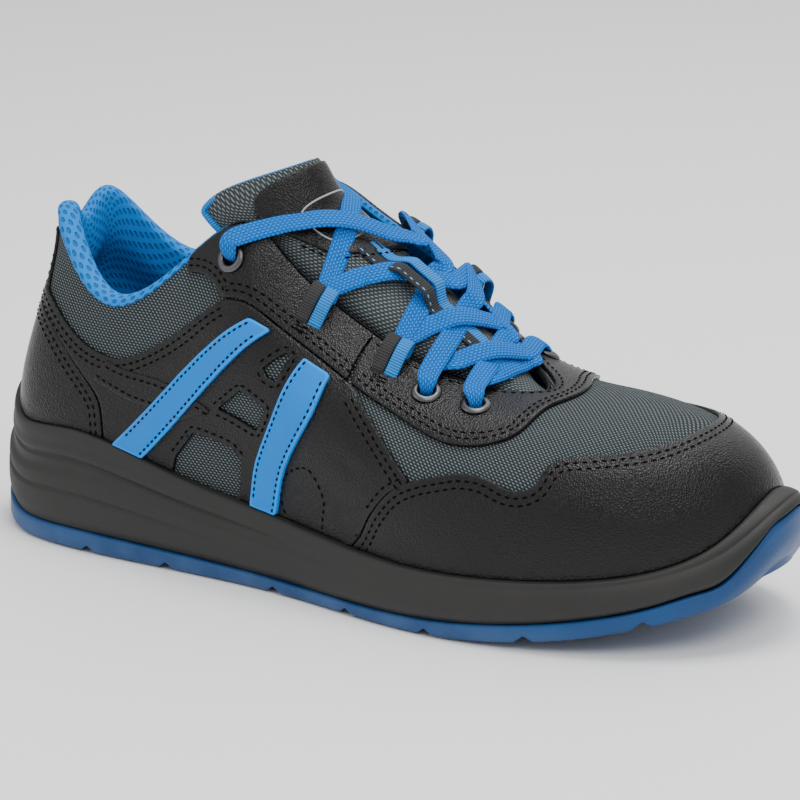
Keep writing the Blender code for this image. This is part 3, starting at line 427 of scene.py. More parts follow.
def last_point(row, share):
    """Cubic Bezier from the upper's foot to its top edge."""
    foot, out = sole_line(row, -FEATHER_INSET)
    foot = np.concatenate([foot, smooth(SEAT, row)[..., None]], -1)
    top = np.stack([smooth(TOP_X, row), smooth(TOP_Y, row), smooth(TOP_Z, row)], -1)
    lean, pitch = smooth(LEAN, row)[..., None], smooth(PITCH, row)[..., None]
    rise = np.concatenate([out * np.sin(lean), np.cos(lean)], -1)
    fall = np.concatenate([out * np.cos(pitch), -np.sin(pitch)], -1)
    low = foot + smooth(RISE, row)[..., None] * rise
    high = top + smooth(CROWN, row)[..., None] * fall
    s = share[..., None]
    return (1 - s) ** 3 * foot + 3 * (1 - s) ** 2 * s * low + 3 * (1 - s) * s ** 2 * high + s ** 3 * top


# Creases of the upper: row, share and depth of the middle, and half sizes in rows and share.
CREASES = ((5.30, 0.62, -0.0006, 0.16, 0.10), (5.62, 0.60, 0.0004, 0.14, 0.10),
           (4.95, 0.45, -0.0005, 0.22, 0.05), (2.75, 0.62, -0.0006, 0.30, 0.035),
           (3.00, 0.70, 0.0004, 0.30, 0.035), (7.35, 0.80, -0.0005, 0.60, 0.03),
           (12.6, 0.60, -0.0006, 0.20, 0.10), (15.2, 0.66, -0.0006, 0.30, 0.04),
           (10.6, 0.80, -0.0004, 0.60, 0.03))


def last(row, share, off=0.0):
    """Outside of the upper with its soft creases, moved out by off along its normal."""
    row, share, off = np.broadcast_arrays(np.asarray(row, float), np.asarray(share, float),
                                          np.asarray(off, float))
    run = last_point(row + 2e-3, share) - last_point(row - 2e-3, share)
    up = last_point(row, share + 1e-3) - last_point(row, share - 1e-3)
    normal = unit(np.cross(run, up))
    soft = sum(depth * hump(row % ROUND, at, wide) * hump(share, high, tall)
               for at, high, depth, wide, tall in CREASES)
    return last_point(row, share) + normal * (off + soft)[..., None]


def share_at(row, height):
    """Share of the upper's wall that lies at a height above the floor."""
    steps = np.linspace(0, 0.7, 141)
    heights = last_point(*np.broadcast_arrays(np.asarray(row, float)[:, None], steps[None, :]))[..., 2]
    return np.array([np.interp(h, z, steps) for h, z in zip(height, heights)])


def make_midsole():
    """The cup's profile carried round the sole: side with step and creases, rolled rim, hollow."""
    rows = np.linspace(0, ROUND, 1080, endpoint=False)
    rim = smooth(RIM, rows)
    share = share_at(rows, rim)
    low = tread(sole_line(rows)[0][:, 0]) + band_height(rows) + SOLE_GAP
    height = rim - low

    def ring(outset, z):
        """The sole's line moved outwards, at a height above the floor."""
        line, _ = sole_line(rows, outset)
        return np.concatenate([line, np.broadcast_to(z, len(rows))[:, None]], -1)

    inner_edge = -EDGE_INSET - BAND_WALL - SOLE_GAP
    plate = tread(sole_line(rows, inner_edge)[0][:, 0]) + TREAD_PLATE + SOLE_GAP
    lip = last(rows, share, CUP_GAP + RIM_LIP)
    heel = np.minimum(rows, ROUND - rows)
    step = 1 - ease(heel, 3.2, 5.2)
    sides = []
    for up in np.linspace(0, SIDE_TOP, 44):
        outset = catmull(SIDE_BULGE, np.array([up / SIDE_TOP * 8]))[0]
        belly = -0.0013 * ease(up, 0.50, 0.60) * (1 - ease(up, 0.62, 0.82)) * step
        crease = -0.0011 * hump(up, 0.74 - 0.020 * heel, 0.022) * (1 - ease(heel, 2.8, 4.4))
        crease -= 0.0009 * hump(up, 0.40 - 0.015 * heel, 0.022) * (1 - ease(heel, 2.4, 4.0))
        sides.append(ring(outset + belly + crease, low + up * height))
    top_side = sides[-1]
    rolled = []
    for turn in np.linspace(0.12, 1, 9):
        angle = turn * 0.5 * math.pi
        shape = top_side + (lip - top_side) * (1 - math.cos(angle))
        shape[:, 2] = top_side[:, 2] + (lip[:, 2] - top_side[:, 2]) * math.sin(angle)
        rolled.append(shape)
    rolled.append(last(rows, share, CUP_GAP + 0.45 * RIM_LIP) + np.array([0, 0, 0.0001]))
    foot = last(rows, 0.0, CUP_GAP)
    foot[:, 2] = smooth(SEAT, rows) - SOLE_GAP
    spine = np.stack([0.75 * smooth(LINE_X, rows), 0 * rows, smooth(SEAT, rows) - SOLE_GAP], -1)
    under = ring(inner_edge, plate)
    spine_low = spine.copy()
    spine_low[:, 2] = tread(spine[:, 0]) + TREAD_PLATE + SOLE_GAP
    hollow = [last(rows, share * t, CUP_GAP) for t in (1.0, 0.75, 0.5, 0.25)]
    points = np.stack([spine_low, under, ring(inner_edge, low)] + sides + rolled + hollow + [foot, spine], 1)
    foam = moulded_finish("charcoal_foam", (0.014, 0.0135, 0.013, 1), (0.021, 0.020, 0.019, 1), 0.60,
                          MOULD_GRAIN, 0.06)
    grid_piece("midsole_cup", points, "midsole_foam", foam, closed=(True, False), replaces=("midsole",),
               weld=True)


make_midsole()


# Insole: a loose footbed of blue foam with a textile face, moulded to the seat's curve and laid on
# the midsole's floor inside the upper.
WALL, INSOLE, INSOLE_CLEAR = 0.0020, 0.0040, 0.0006


def make_insole():
    """Footbed profile carried round the upper's foot and drawn in to a line down its middle."""
    rows = np.linspace(0, ROUND, 420, endpoint=False)
    gap = WALL + INSOLE_CLEAR
    low = last(rows, 0.0, -gap)
    low[:, 2] = smooth(SEAT, rows) + SOLE_GAP
    edge = low + np.array([0, 0, 0.6 * INSOLE])
    high = low + np.array([0, 0, INSOLE])
    inset = last(rows, 0.0, -gap - 0.5 * INSOLE)
    high[:, :2] = inset[:, :2]
    spine = np.stack([0.75 * smooth(LINE_X, rows), 0 * rows, smooth(SEAT, rows) + SOLE_GAP], -1)
    spine_low, spine_high = spine, spine + np.array([0, 0, INSOLE])
    top = [high * (1 - t) + spine_high * t for t in (0.0, 0.25, 0.5, 0.75, 1.0)]
    points = np.stack([spine_low, low, edge] + top, 1)
    made, tree, shader = finish_of("footbed_cloth", 0.9, Base_Color=(0.010, 0.070, 0.190, 1))
    raised(tree, shader, noise(tree, object_place(tree), 900, 2.0), 0.0003)
    grid_piece("insole_footbed", points, "insole_foam", made, closed=(True, False), replaces=("insole",),
               weld=True)


make_insole()


# Upper: a shell of slate knitted mesh with light diagonal flecks, lasted over the foot and glued
# into the cup. Its padded collar bulges softly, and holes for the eyelets go through the shell.
EYELETS = ((6.83, 0.880), (6.14, 0.890), (3.24, 0.890))
COLLAR_PAD, EYELET_BARREL, HOLE_CLEAR, SHELL_WALL, UPPER_ROWS = 0.0070, 0.0034, 0.0003, 0.0012, 540
# The mesh's flecks run level along the vamp, whose ridge has these heights from heel to toe.
VAMP_ROW, RIDGE_X, RIDGE_Z = 5.05, np.linspace(-0.02, 0.15, 5), (0.105, 0.090, 0.075, 0.066, 0.03)


def padding(row, share):
    """Thickness of the upper: its wall, with the padded collar near the top of the heel rows."""
    pad = (1 - ease(np.minimum(row % ROUND, -row % ROUND), 1.9, 3.0)) * ease(share, 0.60, 0.85)
    return WALL + (COLLAR_PAD - WALL) * pad


def staggered(group, wide, high):
    """Place in a brick pattern's cell, x and y from -0.5 to 0.5; each other row is half a cell on."""
    odd = sums(group, "FLOORED_MODULO", sums(group, "FLOOR", high), 2.0)
    x = sums(group, "SUBTRACT", sums(group, "FRACT", sums(group, "MULTIPLY_ADD", odd, 0.5, wide)), 0.5)
    return x, sums(group, "SUBTRACT", sums(group, "FRACT", high), 0.5)


def oval(group, x, y, half_x, half_y):
    """(x / half_x)^2 + (y / half_y)^2."""
    return sums(group, "ADD", sums(group, "POWER", sums(group, "DIVIDE", x, half_x), 2.0),
                sums(group, "POWER", sums(group, "DIVIDE", y, half_y), 2.0))


def make_weave():
    """Flecks in staggered rows: Fleck is 1 on a fleck, Height the threads' relief.

    In a cell of pitch by pitch / 2, fleck = 1 - (x / 0.30)^2 - (y / 0.34)^2 with x sheared by y.
    """
    group, given, out = effect("fleck_weave", {"Vector": None, "Pitch": 0.00125, "Shear": 0.5},
                               ("Fleck", "Height", "Shade"))
    part = node(group, "ShaderNodeSeparateXYZ", given["Vector"]).outputs
    wide = sums(group, "DIVIDE", part["X"], given["Pitch"])
    high = sums(group, "DIVIDE", sums(group, "MULTIPLY", part["Y"], 1.7), given["Pitch"])
    x, y = staggered(group, wide, high)
    x = sums(group, "ADD", x, sums(group, "MULTIPLY", y, given["Shear"]))
    fleck = between(group, oval(group, x, y, 0.30, 0.34), 1.25, 0.45)
    group.links.new(fleck, out["Fleck"])
    threads = sums(group, "ABSOLUTE", sums(group, "SINE", sums(group, "MULTIPLY", high, math.pi)))
    group.links.new(sums(group, "MULTIPLY_ADD", threads, 0.5, fleck), out["Height"])
    group.links.new(noise(group, given["Vector"], 60, 4.0), out["Shade"])
    return group


WEAVE = make_weave()


def mesh_finish(name, dark, light, fleck, pitch):
    """Knitted mesh: two close ground tones, light flecks and their relief."""
    made, tree, shader = finish_of(name, 0.86, Specular_IOR_Level=0.25)
    weave = pattern_of(tree, WEAVE, surface_place(tree))
    weave.inputs["Pitch"].default_value = pitch
    ground = blend(tree, weave.outputs["Shade"], dark, light)
    tree.links.new(blend(tree, sums(tree, "MULTIPLY", weave.outputs["Fleck"], 0.75), ground, fleck),
                   shader.inputs["Base Color"])
    raised(tree, shader, weave.outputs["Height"], 0.00025)
    return made


def run_lengths(points):
    """Distance along the rows at the middle column, and along each row's own columns, in metres."""
    along = distance(points[:, points.shape[1] // 2])
    up = np.linalg.norm(np.diff(points, axis=1), axis=-1)
    across = np.concatenate([np.zeros((len(points), 1)), np.cumsum(up, axis=1)], 1)
    return np.stack([np.broadcast_to(along[:, None], across.shape), across], -1)


def eyelet_axes():
    """Centre of every eyelet on the upper, outer side first, with its outward direction."""
    rows = np.array([r for r, _ in EYELETS] + [ROUND - r for r, _ in EYELETS])
    shares = np.array([s for _, s in EYELETS] * 2)
    centre = last(rows, shares)
    return centre, last(rows, shares, 1.0) - centre


def make_upper():
    """Outside and inside grids of the shell, joined round the top, the foot and the eyelet holes."""
    rows = np.linspace(0, ROUND, UPPER_ROWS, endpoint=False)[:, None]
    shares = np.linspace(0, 0.995, 86)[None, :]
    outside = last(rows, shares)
    inside = last(rows, shares, -SHELL_WALL)
    centre, axis = eyelet_axes()
    cell = 0.5 * (outside + np.roll(outside, -1, 0))
    cell = 0.5 * (cell[:, 1:] + cell[:, :-1])
    keep = np.ones(cell.shape[:2], bool)
    for c, n in zip(centre, axis):
        way = cell - c
        way = way - (way @ n)[..., None] * n
        keep &= np.linalg.norm(way, axis=-1) > EYELET_BARREL + HOLE_CLEAR
    full = np.concatenate([outside, outside[:1]], 0)
    x, y, z = full[..., 0], full[..., 1], full[..., 2]
    number = np.arange(len(full))[:, None] * ROUND / UPPER_ROWS
    vamp = (number > VAMP_ROW) & (number < ROUND - VAMP_ROW)
    top = np.interp(x, RIDGE_X, RIDGE_Z)
    over = y + np.tanh((y - 0.002) / 0.012) * 0.6 * (top - z)
    uv = np.stack([x, np.where(vamp, over, z)], -1)
    fabric = mesh_finish("slate_mesh", (0.011, 0.016, 0.018, 1), (0.018, 0.025, 0.028, 1),
                         (0.19, 0.225, 0.235, 1), 0.0016)
    shell("upper_mesh", outside, inside, keep, "mesh", fabric, uv, replaces=("upper",))


def shell(name, outside, inside, keep, slot, finish, uv, replaces=()):
    """A closed skin of two matching grids, walled along every edge where kept cells end."""
    rows, cols = outside.shape[:2]
    ci, cj = (a[keep.ravel()] for a in cells(rows, cols - 1))
    faces = (ci % rows) * cols + cj
    corners = ci * cols + cj
    one, two = faces.ravel(), np.roll(faces, -1, 1).ravel()
    c_one, c_two = corners.ravel(), np.roll(corners, -1, 1).ravel()
    count = rows * cols
    rim = ~np.isin(one * count + two, two * count + one)
    wall = np.stack([two[rim], one[rim], one[rim] + count, two[rim] + count], 1)
    wall_uv = np.stack([c_two[rim], c_one[rim], c_one[rim], c_two[rim]], 1)
    all_faces = np.concatenate([faces, faces[:, ::-1] + count, wall])
    all_corners = np.concatenate([corners, corners[:, ::-1], wall_uv])
    return piece(name, np.concatenate([outside.reshape(-1, 3), inside.reshape(-1, 3)]), all_faces, slot,
                 finish, uv=uv, corners=all_corners, replaces=replaces)


make_upper()


# Collar lining: blue spacer mesh with rows of dimples, each painted a darker blue as shade in its
# hollow, sewn round the top edge, rolled over the padding and brought down inside to the insole.
def make_dimples():
    """Dimples in staggered rows: Dimple is 1 in a dimple, where shade is painted, Height falls into it."""
    group, given, out = effect("spacer_dimples", {"Vector": None, "Across": 0.0034, "Down": 0.0020},
                               ("Dimple", "Height"))
    part = node(group, "ShaderNodeSeparateXYZ", given["Vector"]).outputs
    wide = sums(group, "DIVIDE", part["X"], given["Across"])
    high = sums(group, "DIVIDE", part["Y"], given["Down"])
    x, y = staggered(group, wide, high)
    dimple = between(group, oval(group, x, y, 0.24, 0.33), 1.3, 0.5)
    group.links.new(dimple, out["Dimple"])
    fine = noise(group, given["Vector"], 1400, 2.0)
    group.links.new(sums(group, "MULTIPLY_ADD", fine, 0.25, sums(group, "SUBTRACT", 1.0, dimple)),
                    out["Height"])
    return group


LINING_PLY = 0.0006


def make_lining():
    """Closed profile: from its outer hem over the rolled edge, down inside, and back up behind."""
    rows = np.linspace(0, ROUND, 480, endpoint=False)
    heel = np.minimum(rows, ROUND - rows)
    throat = ease(heel, 2.7, 3.2)
    hem = 1 - 0.016 * (1 - 0.8 * throat) - 0.075 * hump(heel, 0.72, 0.55) - 0.02 * hump(heel, 0.0, 0.3)
    roll = 0.42 - 0.22 * throat
    # dark is 1 round the throat, rows 3.1 to 11.6, where the lining is painted near-black: painted shade
    # inside the throat.
    dark = ease(rows, 2.8, 3.1) * (1 - ease(rows, 11.6, 12.4))
    thick = padding(rows, 1.0)
    start = [last(rows, hem, -LINING_PLY), last(rows, hem, 0.0002)]
    start += [last(rows, hem + (1 - hem) * t, LINING_PLY) for t in (0.15, 0.5, 0.8, 1.0)]
    outer, inner = last(rows, 1.0, LINING_PLY), last(rows, 1.0, -thick)
    up = unit(last(rows, 1.0) - last(rows, 0.985))
    middle, half = 0.5 * (outer + inner), 0.5 * (outer - inner)
    rolled = [middle + half * math.cos(a) + up * (roll * thick * math.sin(a))[:, None]
              for a in np.linspace(0, math.pi, 12)[1:]]
    down = np.concatenate([np.linspace(0.98, 0.80, 10), np.linspace(0.77, 0.03, 24)])
    inside = [last(rows, s, -padding(rows, s)) for s in down]
    behind = [last(rows, s, LINING_PLY - padding(rows, s)) for s in down[::-1]]
    under = [middle + half * 0.8 * math.cos(a) + up * (0.7 * roll * thick * math.sin(a))[:, None]
             for a in np.linspace(math.pi, 0, 6)]
    under[-1] = last(rows, 0.999, -0.0004)
    points = np.stack(start + rolled + inside + behind + under, 1)
    full = np.concatenate([points, points[:1]], 0)
    full = np.concatenate([full, full[:, :1]], 1)
    uv = run_lengths(full)
    made, tree, shader = finish_of("blue_spacer_mesh", 0.8, Specular_IOR_Level=0.25)
    pattern = pattern_of(tree, make_dimples(), surface_place(tree))
    # Each dimple is painted a darker blue: painted shade in its hollow.
    blue = blend(tree, pattern.outputs["Dimple"], (0.000, 0.190, 0.600, 1), (0.000, 0.110, 0.360, 1))
    throat = node(tree, "ShaderNodeAttribute", attribute_name="throat").outputs["Fac"]
    # The lining is painted near-black round the throat: painted shade inside it.
    tree.links.new(blend(tree, throat, blue, (0.010, 0.010, 0.011, 1)), shader.inputs["Base Color"])
    raised(tree, shader, pattern.outputs["Height"], 0.0006)
    shade = np.repeat(dark, points.shape[1])
    grid_piece("collar_lining", points, "mesh", made, closed=(True, True), uv=uv, replaces=("upper",),
               values={"throat": shade})


make_lining()


# Tongue: a padded piece of the same mesh, sewn in under the vamp and bound with blue tape along
# its free edges. It arches over the instep and stands up behind the top eyelets.
TONGUE = {
    "x": (0.235, 0.205, 0.175, 0.145, 0.083, 0.020, -0.057, -0.076, -0.090, -0.098),
    "z": (0.552, 0.560, 0.590, 0.650, 0.765, 0.870, 1.005, 1.075, 1.135, 1.160),
    "half_out": (0.100, 0.075, 0.062, 0.098, 0.155, 0.172, 0.185, 0.190, 0.188, 0.178),
    "half_in": (0.120, 0.090, 0.090, 0.150, 0.225, 0.260, 0.245, 0.185, 0.170, 0.155),
    "fall_out": (0.010, 0.010, 0.020, 0.050, 0.105, 0.120, 0.118, 0.145, 0.138, 0.102),
    "fall_in": (0.010, 0.010, 0.015, 0.045, 0.095, 0.130, 0.155, 0.150, 0.125, 0.100),
    "back_out": (0.000, 0.000, 0.000, 0.010, 0.045, 0.065, 0.110, 0.210, 0.272, 0.290),
    "back_in": (0.000, 0.000, 0.000, 0.008, 0.030, 0.040, 0.060, 0.160, 0.200, 0.210),
}
TONGUE_MIDDLE, TONGUE_TOP, TONGUE_PAD, TONGUE_ROOT = 0.018, 9, 0.0070, 0.0025


def tongue_point(row, across):
    """Quarter ellipses from the middle ridge down to either edge, across from -1 (outer) to 1."""
    read = {name: catmull(values, row) for name, values in TONGUE.items()}
    outer = across < 0
    angle = (1 - np.abs(across)) * 0.5 * math.pi
    half = np.where(outer, -read["half_out"], read["half_in"])
    fall = INSTEP_HEIGHT * np.where(outer, read["fall_out"], read["fall_in"])
    back = INSTEP_HEIGHT * np.where(outer, read["back_out"], read["back_in"])
    low = 1 - np.sin(angle)
    x = LENGTH * read["x"] - back * low
    y = BALL_WIDTH * (TONGUE_MIDDLE + half * np.cos(angle)) - MIDDLE_Y
    z = INSTEP_HEIGHT * read["z"] - fall * low
    return np.stack([x, y, z], -1)


def tongue(row, across, off=0.0):
    """Outside of the tongue, moved out by off."""
    row, across, off = np.broadcast_arrays(np.asarray(row, float), np.asarray(across, float),
                                           np.asarray(off, float))
    row = row - 0.65 * np.abs(across) ** 7 * ease(row, 7.8, 9.0)
    inside = np.clip(row, 0.01, TONGUE_TOP - 0.01)
    step = tongue_point(inside + 0.01, across) - tongue_point(inside - 0.01, across)
    side = np.clip(across, -0.97, 0.97)
    sweep = tongue_point(row, side + 0.02) - tongue_point(row, side - 0.02)
    return tongue_point(row, across) + unit(np.cross(sweep, step)) * off[..., None]


def tongue_up(row, across):
    """The tongue's outward direction."""
    return tongue(row, across, 1.0) - tongue(row, across)


def tongue_thick(row):
    """The tongue's padding grows from its root to its top."""
    return TONGUE_ROOT + (TONGUE_PAD - TONGUE_ROOT) * ease(row, 2.5, 6.5)


def make_tongue():
    """A closed loop round the tongue's thickness at each row, drawn thin at the root and the top."""
    rows = np.concatenate([np.linspace(0.02, 8.9, 150), [8.95, 8.985, 9.0]])
    taper = np.clip(np.sqrt(np.clip((9.03 - rows) / 0.13, 0, 1)), 0.05, 1)
    across = np.sin(np.linspace(-0.5, 0.5, 61) * math.pi)[None, :]
    thick = (tongue_thick(rows) * taper)[:, None]
    middle = -0.5 * tongue_thick(rows)[:, None]
    edge = np.sqrt(np.clip(1 - np.abs(across) ** 6, 0.0, 1))
    puff = 0.0006 * hump(across, 0.0, 0.6)
    outer = tongue(rows[:, None], across, middle + 0.5 * thick * edge + puff)
    inner = tongue(rows[:, None], across[:, ::-1] * 0.98, middle - 0.5 * thick * edge[:, ::-1])
    points = np.concatenate([outer, inner], 1)
    ends = [np.repeat(points[k].mean(0, keepdims=True), points.shape[1], 0)[None] for k in (0, -1)]
    points = np.concatenate([ends[0], points, ends[1]], 0)
    uv = run_lengths(np.concatenate([points, points[:, :1]], 1))
    fabric = mesh_finish("tongue_mesh", (0.024, 0.031, 0.034, 1), (0.034, 0.044, 0.047, 1),
                         (0.24, 0.275, 0.285, 1), 0.0017)
    made = grid_piece("tongue_pad", points, "mesh", fabric, closed=(False, True), uv=uv,
                      replaces=("tongue",), weld=True, turned=True)


make_tongue()


# Toe cap: one piece of smooth black leather over the toe, with its rear seam running down both
# sides, cut with a skived edge, glued into the cup and sewn on with two rows of black thread.
LEATHER, SEAM_GAP, PITCH_OF_STITCH = 0.0012, 0.0004, 0.0030
TOE_SEAM = [(4.86, 0.14), (5.08, 0.27), (5.40, 0.40), (5.75, 0.48), (6.16, 0.53), (6.38, 0.545),
            (6.57, 0.53), (6.70, 0.48), (6.82, 0.47), (6.97, 0.49), (7.15, 0.55), (7.37, 0.60),
            (7.63, 0.60), (8.23, 0.57), (8.72, 0.57), (9.00, 0.57)]
TOE_SEAM_FOOT, RIM_CLEAR = 4.75, 0.007


def make_leather():
    """Fine grain: Height is close pores over a slow swell, Shade a mottling, Dull worn patches."""
    group, given, out = effect("leather_grain", {"Vector": None, "Pore": 1500.0},
                               ("Height", "Shade", "Dull"))
    pores = node(group, "ShaderNodeTexVoronoi", distance="EUCLIDEAN")
    group.links.new(given["Vector"], pores.inputs["Vector"])
    group.links.new(given["Pore"], pores.inputs["Scale"])
    swell = noise(group, given["Vector"], 260, 3.0)
    group.links.new(sums(group, "MULTIPLY_ADD", swell, 0.8, pores.outputs["Distance"]), out["Height"])
    group.links.new(noise(group, given["Vector"], 45, 4.0), out["Shade"])
    group.links.new(between(group, noise(group, given["Vector"], 22, 5.0, 0.7), 0.45, 0.75), out["Dull"])
    return group


GRAIN = make_leather()


def leather_finish(name, dark, light, roughness, depth=0.00020, shine=0.25):
    """Coated leather: mottled colour, grain, duller worn patches and a paler cut edge."""
    made, tree, shader = finish_of(name, roughness, Specular_IOR_Level=shine)
    grain = pattern_of(tree, GRAIN, object_place(tree))
    body = blend(tree, grain.outputs["Shade"], dark, light)
    edge = node(tree, "ShaderNodeAttribute", attribute_name="edge").outputs["Fac"]
    paler = tuple(min(1.0, 1.5 * c + 0.004) for c in light[:3]) + (1,)
    tree.links.new(blend(tree, between(tree, edge, 0.0009, 0.0, 0.0, 0.55), body, paler),
                   shader.inputs["Base Color"])
    tree.links.new(between(tree, grain.outputs["Dull"], 0.0, 1.0, roughness - 0.05, roughness + 0.12),
                   shader.inputs["Roughness"])
    raised(tree, shader, grain.outputs["Height"], depth)
    return made


BLACK = leather_finish("black_leather", (0.0035, 0.0032, 0.0036, 1), (0.0055, 0.0051, 0.0056, 1), 0.34)
OVERLAY_TOP = SEAM_GAP + LEATHER
TWO_ROWS, ONE_ROW = (0.0020, 0.0043), (0.0020,)
CUT_ROUND, CUT_EDGE, CUT_DROP, BITE, SNAP = 0.00034, 0.00022, 0.00010, 0.0002, 0.52


def rounded(*runs):
    """Outline through runs of points: smooth within a run, a corner where two runs meet."""
    line = []
    for run in runs:
        run = np.asarray(run, float)
        steps = np.array([0]) if len(run) == 2 else np.arange(0, len(run) - 1, 0.25)
        line.append(catmull(run, steps) if len(run) > 2 else run[:1])
    return np.concatenate(line)


def rim_run(start, end, mirrored=False):
    """Points just above the midsole's rim from one row to another."""
    rows = np.linspace(start, end, max(2, int(abs(end - start) / 0.1)))
    real = ROUND - rows if mirrored else rows
    return np.stack([rows, share_at(real, smooth(RIM, real)) + RIM_CLEAR], -1)


def other_side(points):
    """The same points on the inner side, in reverse order."""
    return [(ROUND - row, share) for row, share in points[::-1]]


def mirror(line):
    """A line of (row, share) points taken to the inner side."""
    return np.asarray(line, float) * np.array([-1, 1]) + np.array([ROUND, 0])


def even_lines(surface, low, high, fixed, axis, cell):
    """Parameter values about a cell apart in metres, along one axis of a surface."""
    t = np.linspace(low, high, 300)
    points = surface(t, np.full(300, fixed)) if axis == 0 else surface(np.full(300, fixed), t)
    way = distance(points)
    return np.interp(np.linspace(0, way[-1], max(4, int(round(way[-1] / cell)) + 1)), way, t)


def within(points, loops):
    """True where a point lies inside an odd number of loops."""
    inside = np.zeros(len(points), bool)
    for loop in loops:
        a, b = loop, np.roll(loop, -1, 0)
        x, y = points[:, :1], points[:, 1:]
        crosses = (a[:, 1] > y) != (b[:, 1] > y)
        drop = np.where(b[:, 1] == a[:, 1], 1e-12, b[:, 1] - a[:, 1])
        inside ^= (np.count_nonzero(crosses & (x < (b[:, 0] - a[:, 0]) * (y - a[:, 1]) / drop + a[:, 0]),
                                    axis=1) % 2).astype(bool)
    return inside


def overlay(name, loops, replaced, lift=SEAM_GAP, thick=LEATHER, slot="leather", finish=BLACK, surface=last,
            cell=0.0011, puff=0.0):
    """A flat pattern with holes laid on a surface: an even grid whose nodes near the outline are
    moved onto it, kept inside it, given its thickness, a rounded cut edge and an underside.
    """
    loops = [np.asarray(loop, float) for loop in loops]
    low, high = loops[0].min(0), loops[0].max(0)
    middle = 0.5 * (low + high)
    u_lines = even_lines(surface, low[0] - 0.02, high[0] + 0.02, middle[1], 0, cell)
    v_lines = even_lines(surface, low[1] - 0.005, high[1] + 0.005, middle[0], 1, cell)
    u_at, v_at = np.arange(len(u_lines)), np.arange(len(v_lines))
    flat = [np.stack([np.interp(p[:, 0], u_lines, u_at), np.interp(p[:, 1], v_lines, v_at)], -1)
            for p in loops]
    dense = []
    for p in flat:
        q = np.concatenate([p, p[:1]])
        way = distance(q)
        t = np.linspace(0, way[-1], int(way[-1] / 0.25) + 2)[:-1]
        dense.append(np.stack([np.interp(t, way, q[:, 0]), np.interp(t, way, q[:, 1])], -1))
    dense = np.concatenate(dense)
    place = np.stack(np.meshgrid(u_at, v_at, indexing="ij"), -1).astype(float)
    spots = place.reshape(-1, 2)
    near, far = np.empty(len(spots), int), np.empty(len(spots))
    for start in range(0, len(spots), 2000):
        gap = ((spots[start:start + 2000, None] - dense[None]) ** 2).sum(-1)
        near[start:start + 2000] = gap.argmin(1)
        far[start:start + 2000] = np.sqrt(gap.min(1))
    inside = within(spots, flat)
    on = far < SNAP
    state = np.where(on, 0, np.where(inside, 1, -1)).reshape(place.shape[:2])
    count = len(spots)
    ids = np.where(on, count + near, np.arange(count)).reshape(place.shape[:2])
    where = np.concatenate([spots, dense])
    face = np.stack([ids[:-1, :-1], ids[1:, :-1], ids[1:, 1:], ids[:-1, 1:]], -1).reshape(-1, 4)
    signs = np.stack([state[:-1, :-1], state[1:, :-1], state[1:, 1:], state[:-1, 1:]], -1).reshape(-1, 4)
    outside = (signs < 0).sum(1)
    quads = face[outside == 0]
    some = face[outside == 1]
    gone = (signs[outside == 1] < 0).argmax(1)
    turn = (gone[:, None] + np.array([1, 2, 3, 3])) % 4
    some = np.take_along_axis(some, turn, 1)
    face = np.concatenate([quads, some])
    heart = (where[face].sum(1) - where[face[:, 3]] * (face[:, 3] == face[:, 2])[:, None])
    heart = heart / np.where(face[:, 3] == face[:, 2], 3, 4)[:, None]
    face = face[within(heart, flat)]
    for k in range(4):
        same = face[:, k] == face[:, (k + 1) % 4]
        face[same] = np.roll(face[same], -(k + 1), 1)
    span = [len(set(f)) for f in face.tolist()]
    face = face[np.array(span) > 2]
    used, face = np.unique(face, return_inverse=True)
    face = face.reshape(-1, 4)
    u = np.interp(where[used, 0], u_at, u_lines)
    v = np.interp(where[used, 1], v_at, v_lines)
    base = surface(u, v)
    normal = unit(surface(u, v, 1e-3) - base)
    one, two, three = base[face[:, 0]], base[face[:, 1]], base[face[:, 2]]
    if np.median((np.cross(two - one, three - two) * normal[face[:, 0]]).sum(-1)) < 0:
        face = face[:, ::-1]
    total = len(used)
    a, b = face.ravel(), np.roll(face, -1, 1).ravel()
    a, b = a[a != b], b[a != b]
    rim = ~np.isin(a * total + b, b * total + a)
    a, b = a[rim], b[rim]
    out = np.zeros((total, 3))
    away = np.cross(base[b] - base[a], normal[a])
    np.add.at(out, a, away)
    np.add.at(out, b, away)
    hem = np.unique(np.concatenate([a, b]))
    slot_of = np.zeros(total, int)
    slot_of[hem] = np.arange(len(hem))
    o = out[hem] / np.maximum(np.linalg.norm(out[hem], axis=-1, keepdims=True), 1e-9)
    away_from_edge = np.where(used < count, far[np.minimum(used, count - 1)], 0) * cell
    top = base + normal * (lift + thick + puff * (1 - np.exp(-(away_from_edge / 0.003) ** 2)))[:, None]
    b0, n0 = base[hem], normal[hem]
    rings = [b0 + o * CUT_EDGE + n0 * (lift + thick - CUT_DROP),
             b0 + o * CUT_ROUND + n0 * (lift + 0.6 * thick), b0 + o * CUT_ROUND - n0 * BITE]
    bottom = base - normal * BITE
    points = np.concatenate([top] + rings + [bottom])
    first, second = slot_of[a], slot_of[b]
    m = len(hem)
    chain = [(a, b)] + [(first + total + k * m, second + total + k * m) for k in range(3)]
    chain.append((a + total + 3 * m, b + total + 3 * m))
    walls = [np.stack([low_b, low_a, high_a, high_b], 1)
             for (low_a, low_b), (high_a, high_b) in zip(chain, chain[1:])]
    faces = np.concatenate([face] + walls + [face[:, ::-1] + total + 3 * m]).tolist()
    faces = [list(dict.fromkeys(f)) for f in faces]
    values = np.concatenate([away_from_edge, np.zeros(3 * m), away_from_edge])
    return piece(name, points, faces, slot, finish, values={"edge": values}, replaces=replaced)


STITCHES = {}


